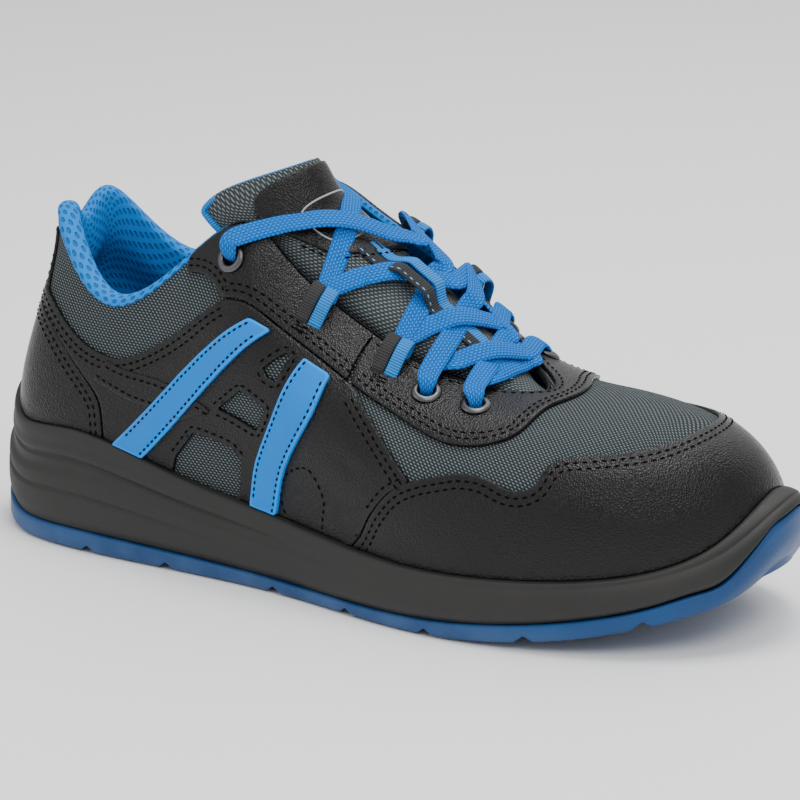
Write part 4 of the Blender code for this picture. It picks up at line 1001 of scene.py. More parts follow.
def sew(key, line, insets, lift, surface=last, pitch=PITCH_OF_STITCH, size=0.00040, sign=1):
    """Note the places of one or more rows of stitches, inset metres to the left of a line.

    The offset is worked out in the surface: (du, dv) solves J (du, dv) = inset x (normal x run).
    """
    line = np.asarray(line, float)
    at = distance(surface(line[:, 0], line[:, 1]))
    for inset in sign * np.asarray(insets):
        t = np.linspace(0, at[-1], max(4, int(at[-1] / 0.0008)))
        u, v = np.interp(t, at, line[:, 0]), np.interp(t, at, line[:, 1])
        point = surface(u, v)
        normal = unit(surface(u, v, 1e-3) - point)
        side = averaged(np.cross(normal, unit(np.gradient(point, axis=0))) * inset, np.ones(5) / 5)
        du = (surface(u + 1e-3, v) - point) * 1e3
        dv = (surface(u, v + 1e-3) - point) * 1e3
        aa, bb, ab = (du * du).sum(-1), (dv * dv).sum(-1), (du * dv).sum(-1)
        sa, sb = (side * du).sum(-1), (side * dv).sum(-1)
        size_of = aa * bb - ab * ab
        u = u + (sa * bb - sb * ab) / size_of
        v = v + (sb * aa - sa * ab) / size_of
        point = surface(u, v, lift)
        along = distance(point)
        number = int(along[-1] / pitch)
        if number < 2:
            continue
        spot = (np.arange(number) + 0.5) * along[-1] / number
        take = [np.stack([np.interp(spot + d, along, point[:, k]) for k in range(3)], -1)
                for d in (-0.3 * pitch, 0, 0.3 * pitch)]
        up = np.stack([np.interp(spot, along, normal[:, k]) for k in range(3)], -1)
        STITCHES.setdefault(key, []).append((take[1], take[2] - take[0], up, size))


TOE_LINE = np.concatenate([rim_run(TOE_SEAM_FOOT, 4.751)[:1], rounded(TOE_SEAM + other_side(TOE_SEAM)[1:]),
                           [other_side(TOE_SEAM)[-1]], rim_run(ROUND - TOE_SEAM_FOOT, 13.249)[:1]])
foot_line = rim_run(TOE_SEAM_FOOT, ROUND - TOE_SEAM_FOOT)[::-1]
overlay("toe_cap_leather", [np.concatenate([TOE_LINE[:-1], foot_line[:-1]])], ("toe_cap",), cell=0.0013)
sew("toe_cap", TOE_LINE, TWO_ROWS, OVERLAY_TOP, sign=-1)


# Heel counter: black leather round the back of the heel, with a tab of the same leather that
# runs up the back seam to the collar's edge.
COUNTER_SEAM = [(2.11, 0.39), (1.87, 0.51), (1.49, 0.57), (0.93, 0.575), (0.00, 0.59)]
COUNTER_FOOT, TAB_LIFT, TAB_THICK = 2.23, 0.0003, 0.0010


def turned_over(points):
    """The same points on the other side of the back of the heel, in reverse order."""
    return [(-row, share) for row, share in points[::-1]]


counter_top = COUNTER_SEAM + turned_over(COUNTER_SEAM)[1:]
counter_foot = rim_run(-COUNTER_FOOT, COUNTER_FOOT)
counter_line = rounded([tuple(counter_foot[-1])] + counter_top + [tuple(counter_foot[0])])
overlay("heel_counter_leather", [np.concatenate([counter_line, counter_foot[:-1]])], ("heel_counter",))
sew("heel_counter", counter_line, TWO_ROWS, OVERLAY_TOP)
tab_side = [(1.30, 0.60), (0.98, 0.64), (0.87, 0.72), (0.83, 0.80), (0.84, 0.87), (0.90, 0.915)]
tab_top = [(0.90, 0.915), (0.72, 0.905), (0.35, 0.935), (0.0, 0.95), (-0.35, 0.935), (-0.72, 0.905),
           (-0.90, 0.915)]
tab_line = rounded(tab_side, tab_top, turned_over(tab_side), [(-1.30, 0.60), (1.30, 0.60)])
overlay("heel_tab_leather", [tab_line], ("heel_counter",), lift=TAB_LIFT, thick=TAB_THICK)
for sign in (1, -1):
    tab_edge = rounded([(sign * row, share) for row, share in tab_side])
    sew("heel_counter", tab_edge, (0.0018,), TAB_LIFT + TAB_THICK, sign=sign)


# Quarters: the leather cage of either side, with cut windows that show the mesh, sewn over the
# upper from the collar to the toe cap.
COLLAR_SEAM = [(3.24, 0.755), (2.82, 0.700), (2.46, 0.680), (2.17, 0.670), (1.95, 0.685),
               (1.51, 0.665), (0.84, 0.640), (0.02, 0.650)]
WINDOWS = ([(3.95, 0.62), (4.26, 0.745), (4.32, 0.74), (4.14, 0.60), (4.00, 0.595)],
           [(3.34, 0.38), (3.64, 0.49), (3.97, 0.475), (3.81, 0.36)])
LOWER_WINDOW = [(2.95, 0.165), (3.11, 0.275), (3.51, 0.26), (3.61, 0.23)]
LOWER_WINDOW_ROWS = (2.93, 3.57)
BAND_THICK = 0.0005
BAND_TOP = [(2.06, 0.655), (2.50, 0.540), (2.95, 0.430), (3.28, 0.365)]
BAND_FOOT = [(1.99, 0.540), (2.20, 0.490), (2.50, 0.405), (2.98, 0.315)]
TEARDROP = [(4.02, 0.085), (4.00, 0.17), (4.12, 0.265), (4.40, 0.330), (4.50, 0.24), (4.44, 0.15),
            (4.40, 0.075)]


def make_quarter(side, mirrored):
    """One side's cage and its seams."""
    flip = mirror if mirrored else np.asarray
    sign = -1 if mirrored else 1
    low = [(row + 0.03, share + 0.010) for row, share in COUNTER_SEAM[:-1]][::-1]
    low = [(0.02, COUNTER_SEAM[-1][1] + 0.012)] + low
    rear = rim_run(COUNTER_FOOT + 0.04, LOWER_WINDOW_ROWS[0], mirrored)
    front = rim_run(LOWER_WINDOW_ROWS[1], TOE_SEAM_FOOT - 0.03, mirrored)
    toe = [(row - 0.03, share) for row, share in TOE_SEAM[:3]] + [(5.70, 0.478)]
    edge = [(5.70, 0.478), (5.57, 0.58), (5.35, 0.69), (5.08, 0.780)]
    top = [(5.08, 0.780), (4.80, 0.795), (4.50, 0.800), (4.10, 0.795), (3.65, 0.780), COLLAR_SEAM[0]]
    outline = np.concatenate([
        rounded(low + [tuple(rear[0])]), rear,
        rounded(*[LOWER_WINDOW[i:i + 2] for i in range(3)]), [LOWER_WINDOW[-1]],
        front, rounded(toe, edge, top, COLLAR_SEAM), [COLLAR_SEAM[-1]]])
    loops = [flip(outline)] + [flip(window) for window in WINDOWS]
    key = "quarter_" + side
    overlay("quarter_leather_" + side, loops, (key,))
    seams = [(rounded(COLLAR_SEAM), TWO_ROWS), (rounded(edge), TWO_ROWS), (rounded(toe[1:]), ONE_ROW)]
    seams += [(window + window[:1], (0.0018,)) for window in WINDOWS]
    seams += [(LOWER_WINDOW, (0.0018,)), (rounded(TEARDROP), (0.0,))]
    for line, insets in seams:
        sew(key, flip(line), insets, OVERLAY_TOP, sign=sign)
    band_top, band_foot = (np.concatenate([rounded(run), run[-1:]]) for run in (BAND_TOP, BAND_FOOT))
    overlay("quarter_band_leather_" + side, [flip(np.concatenate([band_top, band_foot[::-1]]))], (key,),
            lift=OVERLAY_TOP, thick=BAND_THICK)
    for line, way in ((band_top, -sign), (band_foot, sign)):
        sew(key, flip(line), (0.0016,), OVERLAY_TOP + BAND_THICK, sign=way)


for side, mirrored in (("outer", False), ("inner", True)):
    make_quarter(side, mirrored)


# Facings: the leather bands that carry the eyelets, one round the foot of the throat and one on
# either side at the collar, sewn over the quarters with two rows of thread.
FACING_SEAM = [(5.04, 0.800), (5.40, 0.785), (5.72, 0.765), (6.07, 0.725), (6.35, 0.690),
               (6.70, 0.690), (7.14, 0.740), (7.50, 0.820), (7.90, 0.885), (8.40, 0.915), (9.00, 0.925)]
FACING_TOP, FACING_ROWS = 0.985, (0.0020, 0.0042)


def hole_round(row, share, radius):
    """Outline of an eyelet's hole: radius (cos a, sin a) turned into rows and shares."""
    point = last_point(np.array([row]), np.array([share]))
    du = np.linalg.norm(last_point(np.array([row + 0.01]), np.array([share])) - point) * 100
    dv = np.linalg.norm(last_point(np.array([row]), np.array([share + 0.01])) - point) * 100
    angle = np.linspace(0, 2 * math.pi, 20, endpoint=False)
    return np.stack([row + radius / du * np.cos(angle), share + radius / dv * np.sin(angle)], -1)


def make_facings():
    """Front facing, rear facings, and their seams."""
    radius = EYELET_BARREL + HOLE_CLEAR
    seam = FACING_SEAM + other_side(FACING_SEAM)[1:]
    start, end = FACING_SEAM[0][0], ROUND - FACING_SEAM[0][0]
    outline = np.concatenate([rounded(seam), [seam[-1], (end, FACING_TOP), (start, FACING_TOP)]])
    holes = [hole_round(at, share, radius) for row, share in EYELETS[:2] for at in (row, ROUND - row)]
    overlay("facing_front_leather", [outline] + holes, ("facing_front",))
    edge = np.linspace(start + 0.05, end - 0.05, 200)
    sew("facing_front", rounded(seam), FACING_ROWS, OVERLAY_TOP)
    sew("facing_front", np.stack([edge, np.full(200, FACING_TOP)], -1), (-0.0022,), OVERLAY_TOP)
    low = [(2.70, 0.935), (2.94, 0.865), (3.25, 0.770)]
    foot = [(3.25, 0.770), (3.65, 0.793), (4.10, 0.808), (4.50, 0.814), (4.80, 0.808), (5.01, 0.800)]
    top = [(5.01, FACING_TOP), (2.70, FACING_TOP)]
    row, share = EYELETS[2]
    for side, flip, at, sign in (("outer", np.asarray, row, 1), ("inner", mirror, ROUND - row, -1)):
        outline = flip(np.concatenate([rounded(low, foot), top]))
        overlay("facing_rear_leather_" + side, [outline, hole_round(at, share, radius)],
                ("facing_rear_" + side,), lift=2 * SEAM_GAP)
        sew("facing_rear_" + side, flip(rounded(low, foot)), FACING_ROWS, 2 * SEAM_GAP + LEATHER, sign=sign)


make_facings()


# Straps: two plain bands of blue polyurethane on either side, from the eyestay down to the sole,
# sewn over the quarters with dark thread along both edges.
REAR_STRAP = [(4.02, 0.765), (3.72, 0.745), (2.91, 0.50)]
FRONT_STRAP = [(4.78, 0.770), (4.48, 0.765), (4.14, 0.51), (3.80, 0.26)]
REAR_FOOT, FRONT_FOOT = (2.38, 2.66), (3.69, 3.93)
REAR_BACK = [(3.21, 0.45), (4.02, 0.765)]
FRONT_BACK = [(4.10, 0.28), (4.59, 0.58), (4.78, 0.770)]
BLUE_BAND = leather_finish("blue_band", (0.000, 0.180, 0.600, 1), (0.000, 0.200, 0.650, 1), 0.42,
                           0.00005, 0.08)
STRAP_THICK = 0.8 * LEATHER


def make_straps(side, mirrored):
    """The two bands of one side."""
    flip = mirror if mirrored else np.asarray
    sign = -1 if mirrored else 1
    lift = 2.5 * SEAM_GAP + LEATHER
    for name, front, back, rows in (("rear", REAR_STRAP, REAR_BACK, REAR_FOOT),
                                    ("front", FRONT_STRAP, FRONT_BACK, FRONT_FOOT)):
        foot = [tuple(rim_run(row, row + 1e-3, mirrored)[0]) for row in rows]
        outline = np.concatenate([front[:1], rounded(front[1:] + foot[:1]), foot[:1],
                                  rounded(foot[1:] + back)])
        key = f"strap_{name}_{side}"
        overlay(f"strap_{name}_band_{side}", [flip(outline)], (key,), lift=lift, thick=STRAP_THICK,
                slot="blue_strap", finish=BLUE_BAND, cell=0.0009, puff=0.0002)
        for line in (front[1:] + foot[:1], foot[1:] + back):
            sew(key, flip(rounded(line)), (0.0011,), lift + STRAP_THICK, pitch=0.0024, sign=sign)


for side, mirrored in (("outer", False), ("inner", True)):
    make_straps(side, mirrored)


# Tongue patch: a black leather piece over the tongue's top with a pale welded line round an
# empty rounded panel, and a thin blue binding along the tongue's free edge.
PATCH = ([(6.05, -0.60), (5.62, -0.46), (5.36, 0.0), (5.35, 0.45)],
         [(5.35, 0.45), (6.00, 0.60), (7.00, 0.62), (7.80, 0.52), (8.20, 0.28)],
         [(8.20, 0.28), (8.32, 0.0), (8.24, -0.36), (7.95, -0.60), (7.30, -0.69), (6.60, -0.67),
          (6.05, -0.60)])


# Width and thickness of the pale line and of the binding.
PANEL_LINE, BINDING = (0.0006, 0.0002), (0.0024, 0.0056)


def squared(wave, power):
    """sgn(wave) |wave|^power, which makes a circle's sine and cosine those of a rounded box."""
    return np.sign(wave) * np.abs(wave) ** power


def ribbon(path, ups, width, thick, sides=10):
    """Rounded flat section carried along a path; width and thick may change along it.

    Section: (width / 2) sgn(cos a) |cos a|^0.5 across and (thick / 2) sgn(sin a) |sin a|^0.8 up.
    """
    run = unit(np.gradient(path, axis=0))
    flat = unit(np.cross(run, ups))
    up = np.cross(flat, run)
    a = np.linspace(0, 2 * math.pi, 2 * sides, endpoint=False) + math.pi / (2 * sides)
    across = squared(np.cos(a), 0.5) * 0.5
    high = squared(np.sin(a), 0.8) * 0.5
    width = np.broadcast_to(width, len(path))[:, None, None]
    thick = np.broadcast_to(thick, len(path))[:, None, None]
    points = (path[:, None] + flat[:, None] * across[None, :, None] * width
              + up[:, None] * high[None, :, None] * thick)
    ends = [np.repeat(points[k].mean(0, keepdims=True), len(a), 0)[None] for k in (0, -1)]
    points = np.concatenate([ends[0], points, ends[1]], 0)
    way = np.pad(distance(path), 1, "edge")
    place = np.concatenate([across, across[:1]]) * width.max()
    uv = np.stack(np.broadcast_arrays(way[:, None], place[None, :]), -1)
    return points, uv


def ribbons(name, parts, slot, finish, replaces=()):
    """Several ribbons as one piece, each closed at its ends."""
    points, faces, corners, uvs = [], [], [], []
    first, first_uv = 0, 0
    for grid, uv in parts:
        rows, cols = grid.shape[:2]
        ci, cj = cells(rows - 1, cols)
        faces.append(ci * cols + cj % cols + first)
        corners.append(ci * (cols + 1) + cj + first_uv)
        points.append(grid.reshape(-1, 3))
        uvs.append(uv.reshape(-1, 2))
        first += rows * cols
        first_uv += rows * (cols + 1)
    return piece(name, np.concatenate(points), np.concatenate(faces), slot, finish, uv=np.concatenate(uvs),
                 corners=np.concatenate(corners), replaces=replaces, weld=True)


def make_tape_weave():
    """Ribs across a tape every Rib metres, and dashes along a line at Side from its middle."""
    group, given, out = effect("ribbed_tape", {"Vector": None, "Rib": 0.0009, "Side": 0.0, "Half": 0.0002},
                               ("Rib", "Dash"))
    part = node(group, "ShaderNodeSeparateXYZ", given["Vector"]).outputs
    turn = sums(group, "MULTIPLY", sums(group, "DIVIDE", part["X"], given["Rib"]), 2 * math.pi)
    group.links.new(sums(group, "MULTIPLY_ADD", sums(group, "SINE", turn), 0.5, 0.5), out["Rib"])
    dash = between(group, sums(group, "SINE", sums(group, "MULTIPLY", turn, 0.33)), 0.0, 0.4)
    away = sums(group, "ABSOLUTE", sums(group, "SUBTRACT", part["Y"], given["Side"]))
    near = sums(group, "LESS_THAN", away, given["Half"])
    group.links.new(sums(group, "MULTIPLY", dash, near), out["Dash"])
    return group


TAPE = make_tape_weave()


def tape_finish(name, colour, rib=0.0009, dashes=None, dash_colour=(0.10, 0.42, 0.80, 1), low=0.45):
    """Ribbed tape: colour darkened between its ribs as painted shade in the grooves, with an optional dashed
    line along it.
    """
    made, tree, shader = finish_of(name, 0.78)
    weave = pattern_of(tree, TAPE, surface_place(tree))
    weave.inputs["Rib"].default_value = rib
    weave.inputs["Side"].default_value = dashes if dashes is not None else 1.0
    # low is the share of the colour left in the rib grooves: painted shade.
    dark = tuple(c * low for c in colour[:3]) + (1,)
    ribbed = blend(tree, weave.outputs["Rib"], dark, colour)
    tree.links.new(blend(tree, weave.outputs["Dash"], ribbed, dash_colour), shader.inputs["Base Color"])
    raised(tree, shader, weave.outputs["Rib"], 0.00025)
    return made


overlay("tongue_patch_leather", [rounded(*PATCH)], ("tongue_patch",), surface=tongue, cell=0.0009)
sew("tongue_patch", rounded(PATCH[0]), ONE_ROW, OVERLAY_TOP, surface=tongue, sign=-1)
turn = np.linspace(0, 2 * math.pi, 121)
panel_row = 6.27 + 0.63 * squared(np.sin(turn), 0.5)
panel_across = -0.04 + 0.40 * squared(np.cos(turn), 0.5)
outline = tongue(panel_row, panel_across, OVERLAY_TOP + 0.00004)
pale, _, _ = finish_of("pale_line", 0.6, Base_Color=(0.30, 0.33, 0.34, 1))
strip = ribbon(outline, tongue_up(panel_row, panel_across), *PANEL_LINE, 4)
ribbons("tongue_panel_line", [strip], "leather", pale, replaces=("tongue_patch",))
BLUE_TAPE = tape_finish("blue_tape", (0.000, 0.230, 0.700, 1))
edge_row = np.concatenate([np.linspace(5.6, 8.82, 60), np.full(60, 8.86), np.linspace(8.82, 5.6, 60)])
edge_side = np.concatenate([np.full(60, -0.995), np.sin(np.linspace(-0.5, 0.5, 60) * math.pi) * 0.995,
                            np.full(60, 0.995)])
lower = -0.5 * tongue_thick(edge_row)
bound = tongue(edge_row, edge_side, lower)
strip = ribbon(averaged(bound, np.ones(9) / 9), tongue_up(edge_row, edge_side), *BINDING, 8)
ribbons("tongue_binding", [strip], "webbing", BLUE_TAPE, replaces=("tongue",))


# Eyelets: rolled gunmetal eyelets pressed through the facings, three on either side, each a
# flange, a barrel and a flattened ring inside.
EYELET_RADIUS, EYELET_HOLE = 0.0052, 0.0026


def frame_at(row, share, off=0.0):
    """Point on the upper with its directions: down the wall, along the rows and outwards."""
    row, share = np.array([row]), np.array([share])
    base = last_point(row, share)[0]
    run = last_point(row + 2e-3, share)[0] - last_point(row - 2e-3, share)[0]
    up = last_point(row, share + 1e-3)[0] - last_point(row, share - 1e-3)[0]
    normal = unit(np.cross(run, up))
    down = unit(normal * up.dot(normal) - up)
    return base + normal * off, down, np.cross(normal, down), normal


def make_eyelets():
    """Lathe profile (radius, height) turned round each eyelet's axis in 40 steps."""
    metal, tree, shader = finish_of("gunmetal", 0.34, Base_Color=(0.10, 0.10, 0.105, 1), Metallic=1.0)
    fine = noise(tree, object_place(tree), 700, 3.0)
    tree.links.new(between(tree, fine, 0.3, 0.7, 0.26, 0.46), shader.inputs["Roughness"])
    raised(tree, shader, fine, 0.00003)
    shape = [(EYELET_HOLE, -0.0020), (EYELET_HOLE, 0.0004), (EYELET_HOLE + 0.0002, 0.0009),
             (EYELET_HOLE + 0.0006, 0.0012), (EYELET_HOLE + 0.0012, 0.00125),
             (EYELET_RADIUS - 0.0007, 0.0010), (EYELET_RADIUS - 0.0002, 0.0006),
             (EYELET_RADIUS, 0.0001), (EYELET_RADIUS - 0.0002, 0.0),
             (EYELET_BARREL, 0.0), (EYELET_BARREL, -0.0040), (EYELET_BARREL + 0.0011, -0.0042),
             (EYELET_BARREL + 0.0011, -0.0047), (EYELET_HOLE + 0.0002, -0.0046), (EYELET_HOLE, -0.0042)]
    angle = np.linspace(0, 2 * math.pi, 40, endpoint=False)
    radius, height = np.array(shape).T
    for side in ("outer", "inner"):
        for number, (row, share) in enumerate(EYELETS, 1):
            at = row if side == "outer" else ROUND - row
            origin, down, along, normal = frame_at(at, share, OVERLAY_TOP + SEAM_GAP * (number == 3))
            turned = down * np.cos(angle)[:, None] + along * np.sin(angle)[:, None]
            points = origin + turned[:, None] * radius[None, :, None] + normal * height[None, :, None]
            grid_piece(f"eyelet_metal_{side}_{number}", points, "eyelet_metal", metal, closed=(True, True),
                       turned=True, replaces=(f"eyelet_{side}_{number}",))


make_eyelets()


# Lace loops: at two places on either side a black and a blue ribbed tape lie side by side, folded
# round the throat edge as an eye for the lace, then tucked into a slit in the facing and sewn.
BLACK_TAPE = tape_finish("black_tape", (0.020, 0.020, 0.022, 1))
LACE_LOOPS = ((5.42, 0.965), (4.40, 0.955))
LOOP_BAND, TAPE_PLY = 0.0046, 0.0012


def make_loops():
    """Path of one tape down the wall and above it, then two tapes beside one another."""
    shape = [(-0.0005, -0.0006), (-0.0040, 0.0000), (-0.0058, 0.0020), (-0.0046, 0.0044), (-0.0012, 0.0050),
             (0.0018, 0.0040), (0.0042, 0.0024), (0.0060, 0.0012), (0.0072, 0.0004), (0.0080, -0.0008)]
    t = np.linspace(0, len(shape) - 1, 46)
    flat = catmull(shape, t)
    for side in ("outer", "inner"):
        for number, (row, share) in enumerate(LACE_LOOPS, 1):
            at = row if side == "outer" else ROUND - row - 0.15
            origin, down, along, normal = frame_at(at, share, OVERLAY_TOP)
            path = origin + down * flat[:, :1] + normal * flat[:, 1:]
            bend = np.gradient(flat, axis=0)
            ups = down * -bend[:, 1:] + normal * bend[:, :1]
            toe = 1 if side == "outer" else -1
            for shift, finish, word in ((-0.5, BLACK_TAPE, "black"), (0.5, BLUE_TAPE, "blue")):
                moved = path + along * (toe * shift * (LOOP_BAND + 0.0003))
                ribbons(f"lace_loop_{word}_{side}_{number}", [ribbon(moved, ups, LOOP_BAND, TAPE_PLY, 8)],
                        "webbing", finish, replaces=(f"lace_loop_{side}_{number}",))
            across = np.linspace(-0.0035, 0.0035, 12)[2:10:3]
            for low in (0.0098, 0.0112):
                spot = origin + down * low + along * across[:, None]
                STITCHES.setdefault("facing_rear_" + side, []).append(
                    (spot, np.repeat(along[None], 3, 0) * 0.0016, np.repeat(normal[None], 3, 0), 0.00024))


make_loops()


# Lace: one flat braided blue cord. A bar joins the lowest eyelets, each run then rises from an
# eyelet or loop, crosses the tongue and passes under the edge opposite, up to the top eyelets.
LACE_WIDTH, LACE_THICK, LACE_LIFT, LACE_REACH = 0.0074, 0.0018, 0.0030, 0.0085
LACE_STAND, INNER_SHIFT = (0.0022, 0.0010), (-0.30, -0.35, -0.40, -0.70, -0.20)
UNDER_RUN, OVER_RUN, LAST_RUN, LACE_CLEAR = 0.0012, 0.0032, 0.0014, 0.0011


def make_braid():
    """Chevrons of short flecks in columns along the cord: Fleck, the crown of each strand where the colour is
    painted lighter as a highlight, and the strands' Height.
    """
    group, given, out = effect("flat_braid", {"Vector": None, "Step": 0.0016, "Column": 0.0011},
                               ("Fleck", "Height"))
    part = node(group, "ShaderNodeSeparateXYZ", given["Vector"]).outputs
    column = sums(group, "DIVIDE", part["Y"], given["Column"])
    odd = sums(group, "FLOORED_MODULO", sums(group, "FLOOR", column), 2.0)
    y = sums(group, "SUBTRACT", sums(group, "FRACT", column), 0.5)
    lean = sums(group, "MULTIPLY", y, sums(group, "MULTIPLY_ADD", odd, 0.9, -0.45))
    along = sums(group, "ADD", sums(group, "DIVIDE", part["X"], given["Step"]), lean)
    x = sums(group, "SUBTRACT", sums(group, "FRACT", sums(group, "MULTIPLY_ADD", odd, 0.5, along)), 0.5)
    group.links.new(between(group, oval(group, x, y, 0.30, 0.30), 1.3, 0.4), out["Fleck"])
    group.links.new(between(group, oval(group, x, y, 1.0, 1.0), 0.30, 0.0), out["Height"])
    return group


def make_laces():
    """Runs through waypoints of (point, up, width share), each a closed flat cord."""
    stations = sorted(EYELETS[:2] + LACE_LOOPS + EYELETS[2:], key=lambda place: -place[0])
    ridge = tongue(np.linspace(1, TONGUE_TOP, 241), 0.0, LACE_LIFT)
    looped = (2, 3)

    def spot(level, side, shift=0.0):
        """An eyelet's or loop's place with its directions down and outwards."""
        row, share = stations[level]
        origin, down, _, normal = frame_at(row if side == 0 else ROUND - row + shift, share, OVERLAY_TOP)
        return origin, down, normal

    def anchor(level, side):
        """Where a run's arch starts or ends beside its eyelet or loop."""
        origin, down, normal = spot(level, side, INNER_SHIFT[level])
        return origin - down * LACE_REACH + normal * LACE_STAND[side]

    skin_at = np.linspace(1, TONGUE_TOP, 220)[:, None], np.linspace(-1, 1, 90)[None, :]
    skin, skin_up = tongue(*skin_at).reshape(-1, 3), tongue_up(*skin_at).reshape(-1, 3)

    def lay(path, height, weight):
        """Bring a path to a height above the tongue, by a weight, and never below it."""
        near = ((path[:, None] - skin[None]) ** 2).sum(-1).argmin(1)
        above = ((path - skin[near]) * skin_up[near]).sum(-1)
        move = weight * (height - above)
        move = np.maximum(move, LACE_CLEAR - above) * (above > -0.006)
        return path + skin_up[near] * move[:, None]

    def ending(level, side, rising):
        """Waypoints from a run's hidden end to where its arch begins."""
        origin, down, normal = spot(level, side)
        if level in looped:
            return [(origin - down * 0.0005 + normal * 0.0022, normal, 0.75),
                    (origin - down * 0.0040 + normal * 0.0030, normal, 0.85)]
        if rising:
            tall = 1.0 if side == 0 else 0.7
            return [(origin - normal * 0.0050, down, 0.58),
                    (origin + normal * 0.0006, down + normal * 0.3, 0.58),
                    (origin - down * 0.0022 + normal * 0.0030 * tall, down * 0.5 + normal, 0.85),
                    (origin - down * 0.0062 + normal * 0.0032 * tall, normal, 1.0)]
        return [(origin - down * 0.0030 - normal * 0.0046, normal, 0.8),
                (origin - down * 0.0085 - normal * 0.0036, normal, 0.95),
                (origin - down * 0.0135 - normal * 0.0012, normal, 1.0)]

    def run(low, high, over, rising):
        """One arch from low to high, each a (level, side), with its two endings."""
        (a, a_side), (b, b_side) = low, high
        middle = np.mean([anchor(k, s) for k in (a, b) for s in (0, 1)], 0)
        gap = ridge - middle
        rise = gap[np.argmin(np.linalg.norm(gap, axis=1))]
        start, end = anchor(a, a_side), anchor(b, b_side)
        head, tail = ending(a, a_side, rising[0]), ending(b, b_side, rising[1])
        up = rise / np.linalg.norm(rise)
        arch = []
        for s in np.linspace(-1, 1, 13)[2:-2]:
            w = 0.5 * (s + 1)
            lift = 1 - abs(s) ** 1.7
            point = start * (1 - w) + end * w + rise * lift
            lean = (1 - lift) * ((1 - w) * spot(a, a_side)[2] + w * spot(b, b_side)[2]) + up * lift
            arch.append((point, lean, 1.0))
        way = head + arch + tail[::-1]
        points = np.array([p for p, _, _ in way])
        step = np.sqrt(np.linalg.norm(np.diff(points, axis=0), axis=-1))
        knots = np.concatenate([[0], np.cumsum(step)])
        t = np.linspace(0, knots[-1], 130)
        at = np.interp(t, knots, np.arange(len(way)))
        path = catmull(points, at)
        s = np.interp(at, [len(head) - 1, len(head) + len(arch)], [-1, 1])
        path = lay(path, over, (1 - ease(np.abs(s), 0.35, 0.85)) * (np.abs(s) < 1))
        soft = np.hanning(11)[1:-1] / np.hanning(11).sum()
        path = averaged(path, soft)
        ups = catmull(np.array([u / np.linalg.norm(u) for _, u, _ in way]), at)
        width = catmull(np.array([w for _, _, w in way]), at) * LACE_WIDTH
        return ribbon(path, ups, width, LACE_THICK, 10)

    parts = [run((0, 0), (0, 1), UNDER_RUN, (False, False))]
    for k in range(len(stations) - 1):
        last_one = k == len(stations) - 2
        parts.append(run((k, 0), (k + 1, 1), UNDER_RUN + LAST_RUN * last_one, (True, False)))
        parts.append(run((k, 1), (k + 1, 0), OVER_RUN + LAST_RUN * last_one, (True, last_one)))
    cord, tree, shader = finish_of("blue_braid", 0.82, Specular_IOR_Level=0.2)
    braid = pattern_of(tree, make_braid(), surface_place(tree))
    # The crown of each strand is painted a lighter blue: painted highlight on a one-colour cord.
    tree.links.new(blend(tree, braid.outputs["Fleck"], (0.000, 0.120, 0.500, 1), (0.010, 0.230, 0.680, 1)),
                   shader.inputs["Base Color"])
    raised(tree, shader, braid.outputs["Height"], 0.0005)
    ribbons("lace_cord", parts, "lace_cord", cord, replaces=("laces",))


make_laces()


# Keeper tape: a black and a bright blue ribbed tape down the tongue, sewn under the patch. It
# stands over one crossing of the lace as a bridge and is sewn down again below it.
def make_keeper():
    """Two tapes beside one another: across the tongue at fixed shares, lifted over the crossing."""
    rows = np.linspace(5.50, 2.50, 100)
    bridge = ease(rows, 4.20, 4.50) * (1 - ease(rows, 4.95, 5.25))
    lift = 0.0010 + 0.0050 * bridge
    black = tape_finish("keeper_black", (0.016, 0.016, 0.018, 1), dashes=0.0014)
    blue = tape_finish("keeper_blue", (0.000, 0.230, 0.720, 1))
    for word, finish, across, width in (("black", black, -0.20, 0.0054), ("blue", blue, 0.0, 0.0060)):
        strip = ribbon(tongue(rows, across, lift), tongue_up(rows, across), width, TAPE_PLY, 8)
        ribbons("tongue_tape_" + word, [strip], "webbing", finish, replaces=("tongue_tape",))


make_keeper()


# Thread: black polyester lockstitches, two rows along the seams of the leather panels and one
# along each edge of the straps, windows and patch, drawn a little into the leather.
def make_threads():
    """Small capsules: radius r sqrt(1 - x^2) along x from -1 to 1, dipped at both ends."""
    thread, _, _ = finish_of("black_thread", 0.8, Base_Color=(0.0015, 0.0015, 0.0018, 1),
                             Specular_IOR_Level=0.05)
    x = np.array([-0.8, 0.0, 0.8])
    angle = np.linspace(0, 2 * math.pi, 6, endpoint=False)
    ring = np.sqrt(1 - (0.95 * x) ** 2)
    fan = [[0, 1 + (k + 1) % 6, 1 + k] for k in range(6)]
    tube = [[1 + r * 6 + k, 1 + r * 6 + (k + 1) % 6, 7 + r * 6 + (k + 1) % 6, 7 + r * 6 + k]
            for r in range(2) for k in range(6)]
    end = [[19, 13 + k, 13 + (k + 1) % 6] for k in range(6)]
    shape = fan + tube + end
    for key, batches in STITCHES.items():
        points, number = [], 0
        for spot, run, up, size in batches:
            long = 0.62 * run
            side = unit(np.cross(up, run))
            body = (spot[:, None, None] + long[:, None, None] * x[None, :, None, None]
                    + side[:, None, None] * (size * ring[:, None] * np.cos(angle))[None, ..., None]
                    + up[:, None, None] * (size * (ring[:, None] * np.sin(angle) * 0.9 + 0.1
                                                   - 0.7 * x[:, None] ** 2))[None, ..., None])
            tips = [spot + long * s - up * size * 0.8 for s in (-1, 1)]
            body = body.reshape(len(spot), 18, 3)
            points.append(np.concatenate([tips[0][:, None], body, tips[1][:, None]], 1))
            number += len(spot)
        points = np.concatenate(points)
        faces = [[v + 20 * n for v in face] for n in range(number) for face in shape]
        piece("thread_" + key, points, faces, "leather", thread, replaces=(key,))


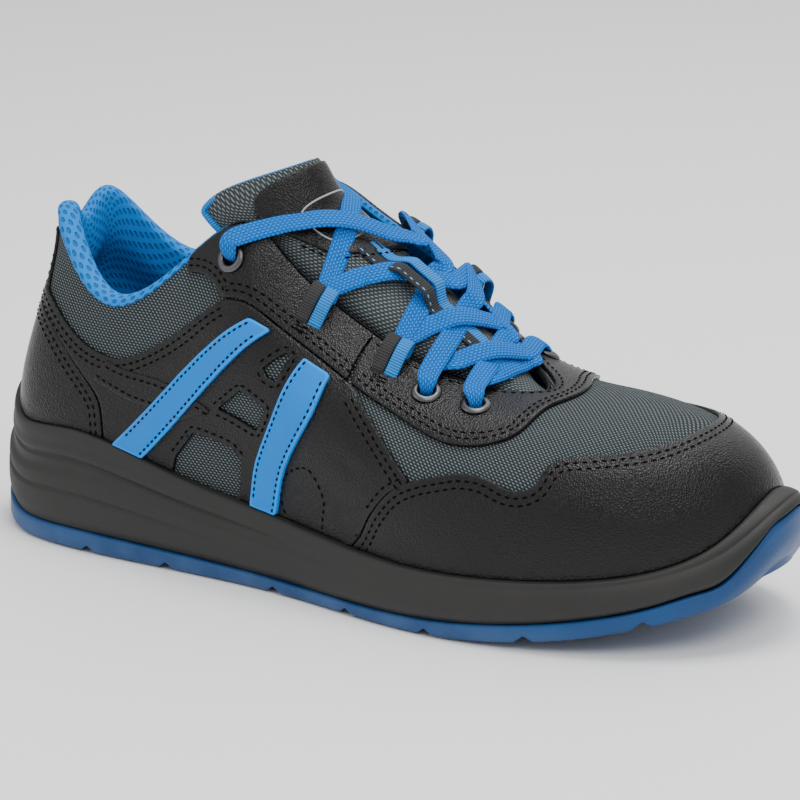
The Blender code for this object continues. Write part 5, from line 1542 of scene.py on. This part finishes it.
make_threads()


# Floor, light and camera: a plain pale floor under soft studio light, a large soft key from the
# upper right, a fill from the left, and the camera at the angle of the photograph.
def make_studio():
    """Floor plane, area lights and world. None of them belongs to the shoe."""
    mesh = bpy.data.meshes.new("floor")
    mesh.from_pydata([(-6, -6, 0), (6, -6, 0), (6, 6, 0), (-6, 6, 0)], [], [(0, 1, 2, 3)])
    floor = bpy.data.objects.new("floor", mesh)
    bpy.context.scene.collection.objects.link(floor)
    mesh.materials.append(finish_of("pale_floor", 0.55, Base_Color=(0.90, 0.90, 0.90, 1))[0])
    lamps = (("key", (0.75, -0.75, 1.30), 0.8, 11.0), ("fill", (-0.85, -1.05, 0.75), 1.0, 4.0),
             ("back", (0.10, 1.00, 1.10), 1.1, 6.0), ("top", (0.10, 0.10, 1.3), 0.5, 11.0))
    for name, at, size, power in lamps:
        lamp = bpy.data.lights.new(name, "AREA")
        lamp.size = size
        lamp.energy = power
        held = bpy.data.objects.new(name, lamp)
        bpy.context.scene.collection.objects.link(held)
        held.location = at
        held.rotation_euler = (Vector(at) - Vector((0, 0, 0.05))).to_track_quat("Z", "Y").to_euler()
    world = bpy.data.worlds.new("studio")
    bpy.context.scene.world = world
    world.use_nodes = True
    sky = world.node_tree.nodes["Background"].inputs
    sky["Color"].default_value = (1.0, 1.0, 1.0, 1)
    sky["Strength"].default_value = 0.80


def make_camera():
    """Long lens at 1.2 m from the middle of the shoe, 29 degrees to the front of square on."""
    turn, lift = math.radians(29.0), math.radians(16.5)
    back = Vector((math.sin(turn) * math.cos(lift), -math.cos(turn) * math.cos(lift), math.sin(lift)))
    lens = bpy.data.cameras.new("camera")
    lens.sensor_width = 36
    lens.lens = 158.22
    lens.shift_x = 0.01875
    held = bpy.data.objects.new("camera", lens)
    bpy.context.scene.collection.objects.link(held)
    held.location = Vector((0, 0.0015, 0.060)) + 1.2 * back
    held.rotation_euler = back.to_track_quat("Z", "Y").to_euler()
    bpy.context.scene.camera = held


make_studio()
make_camera()
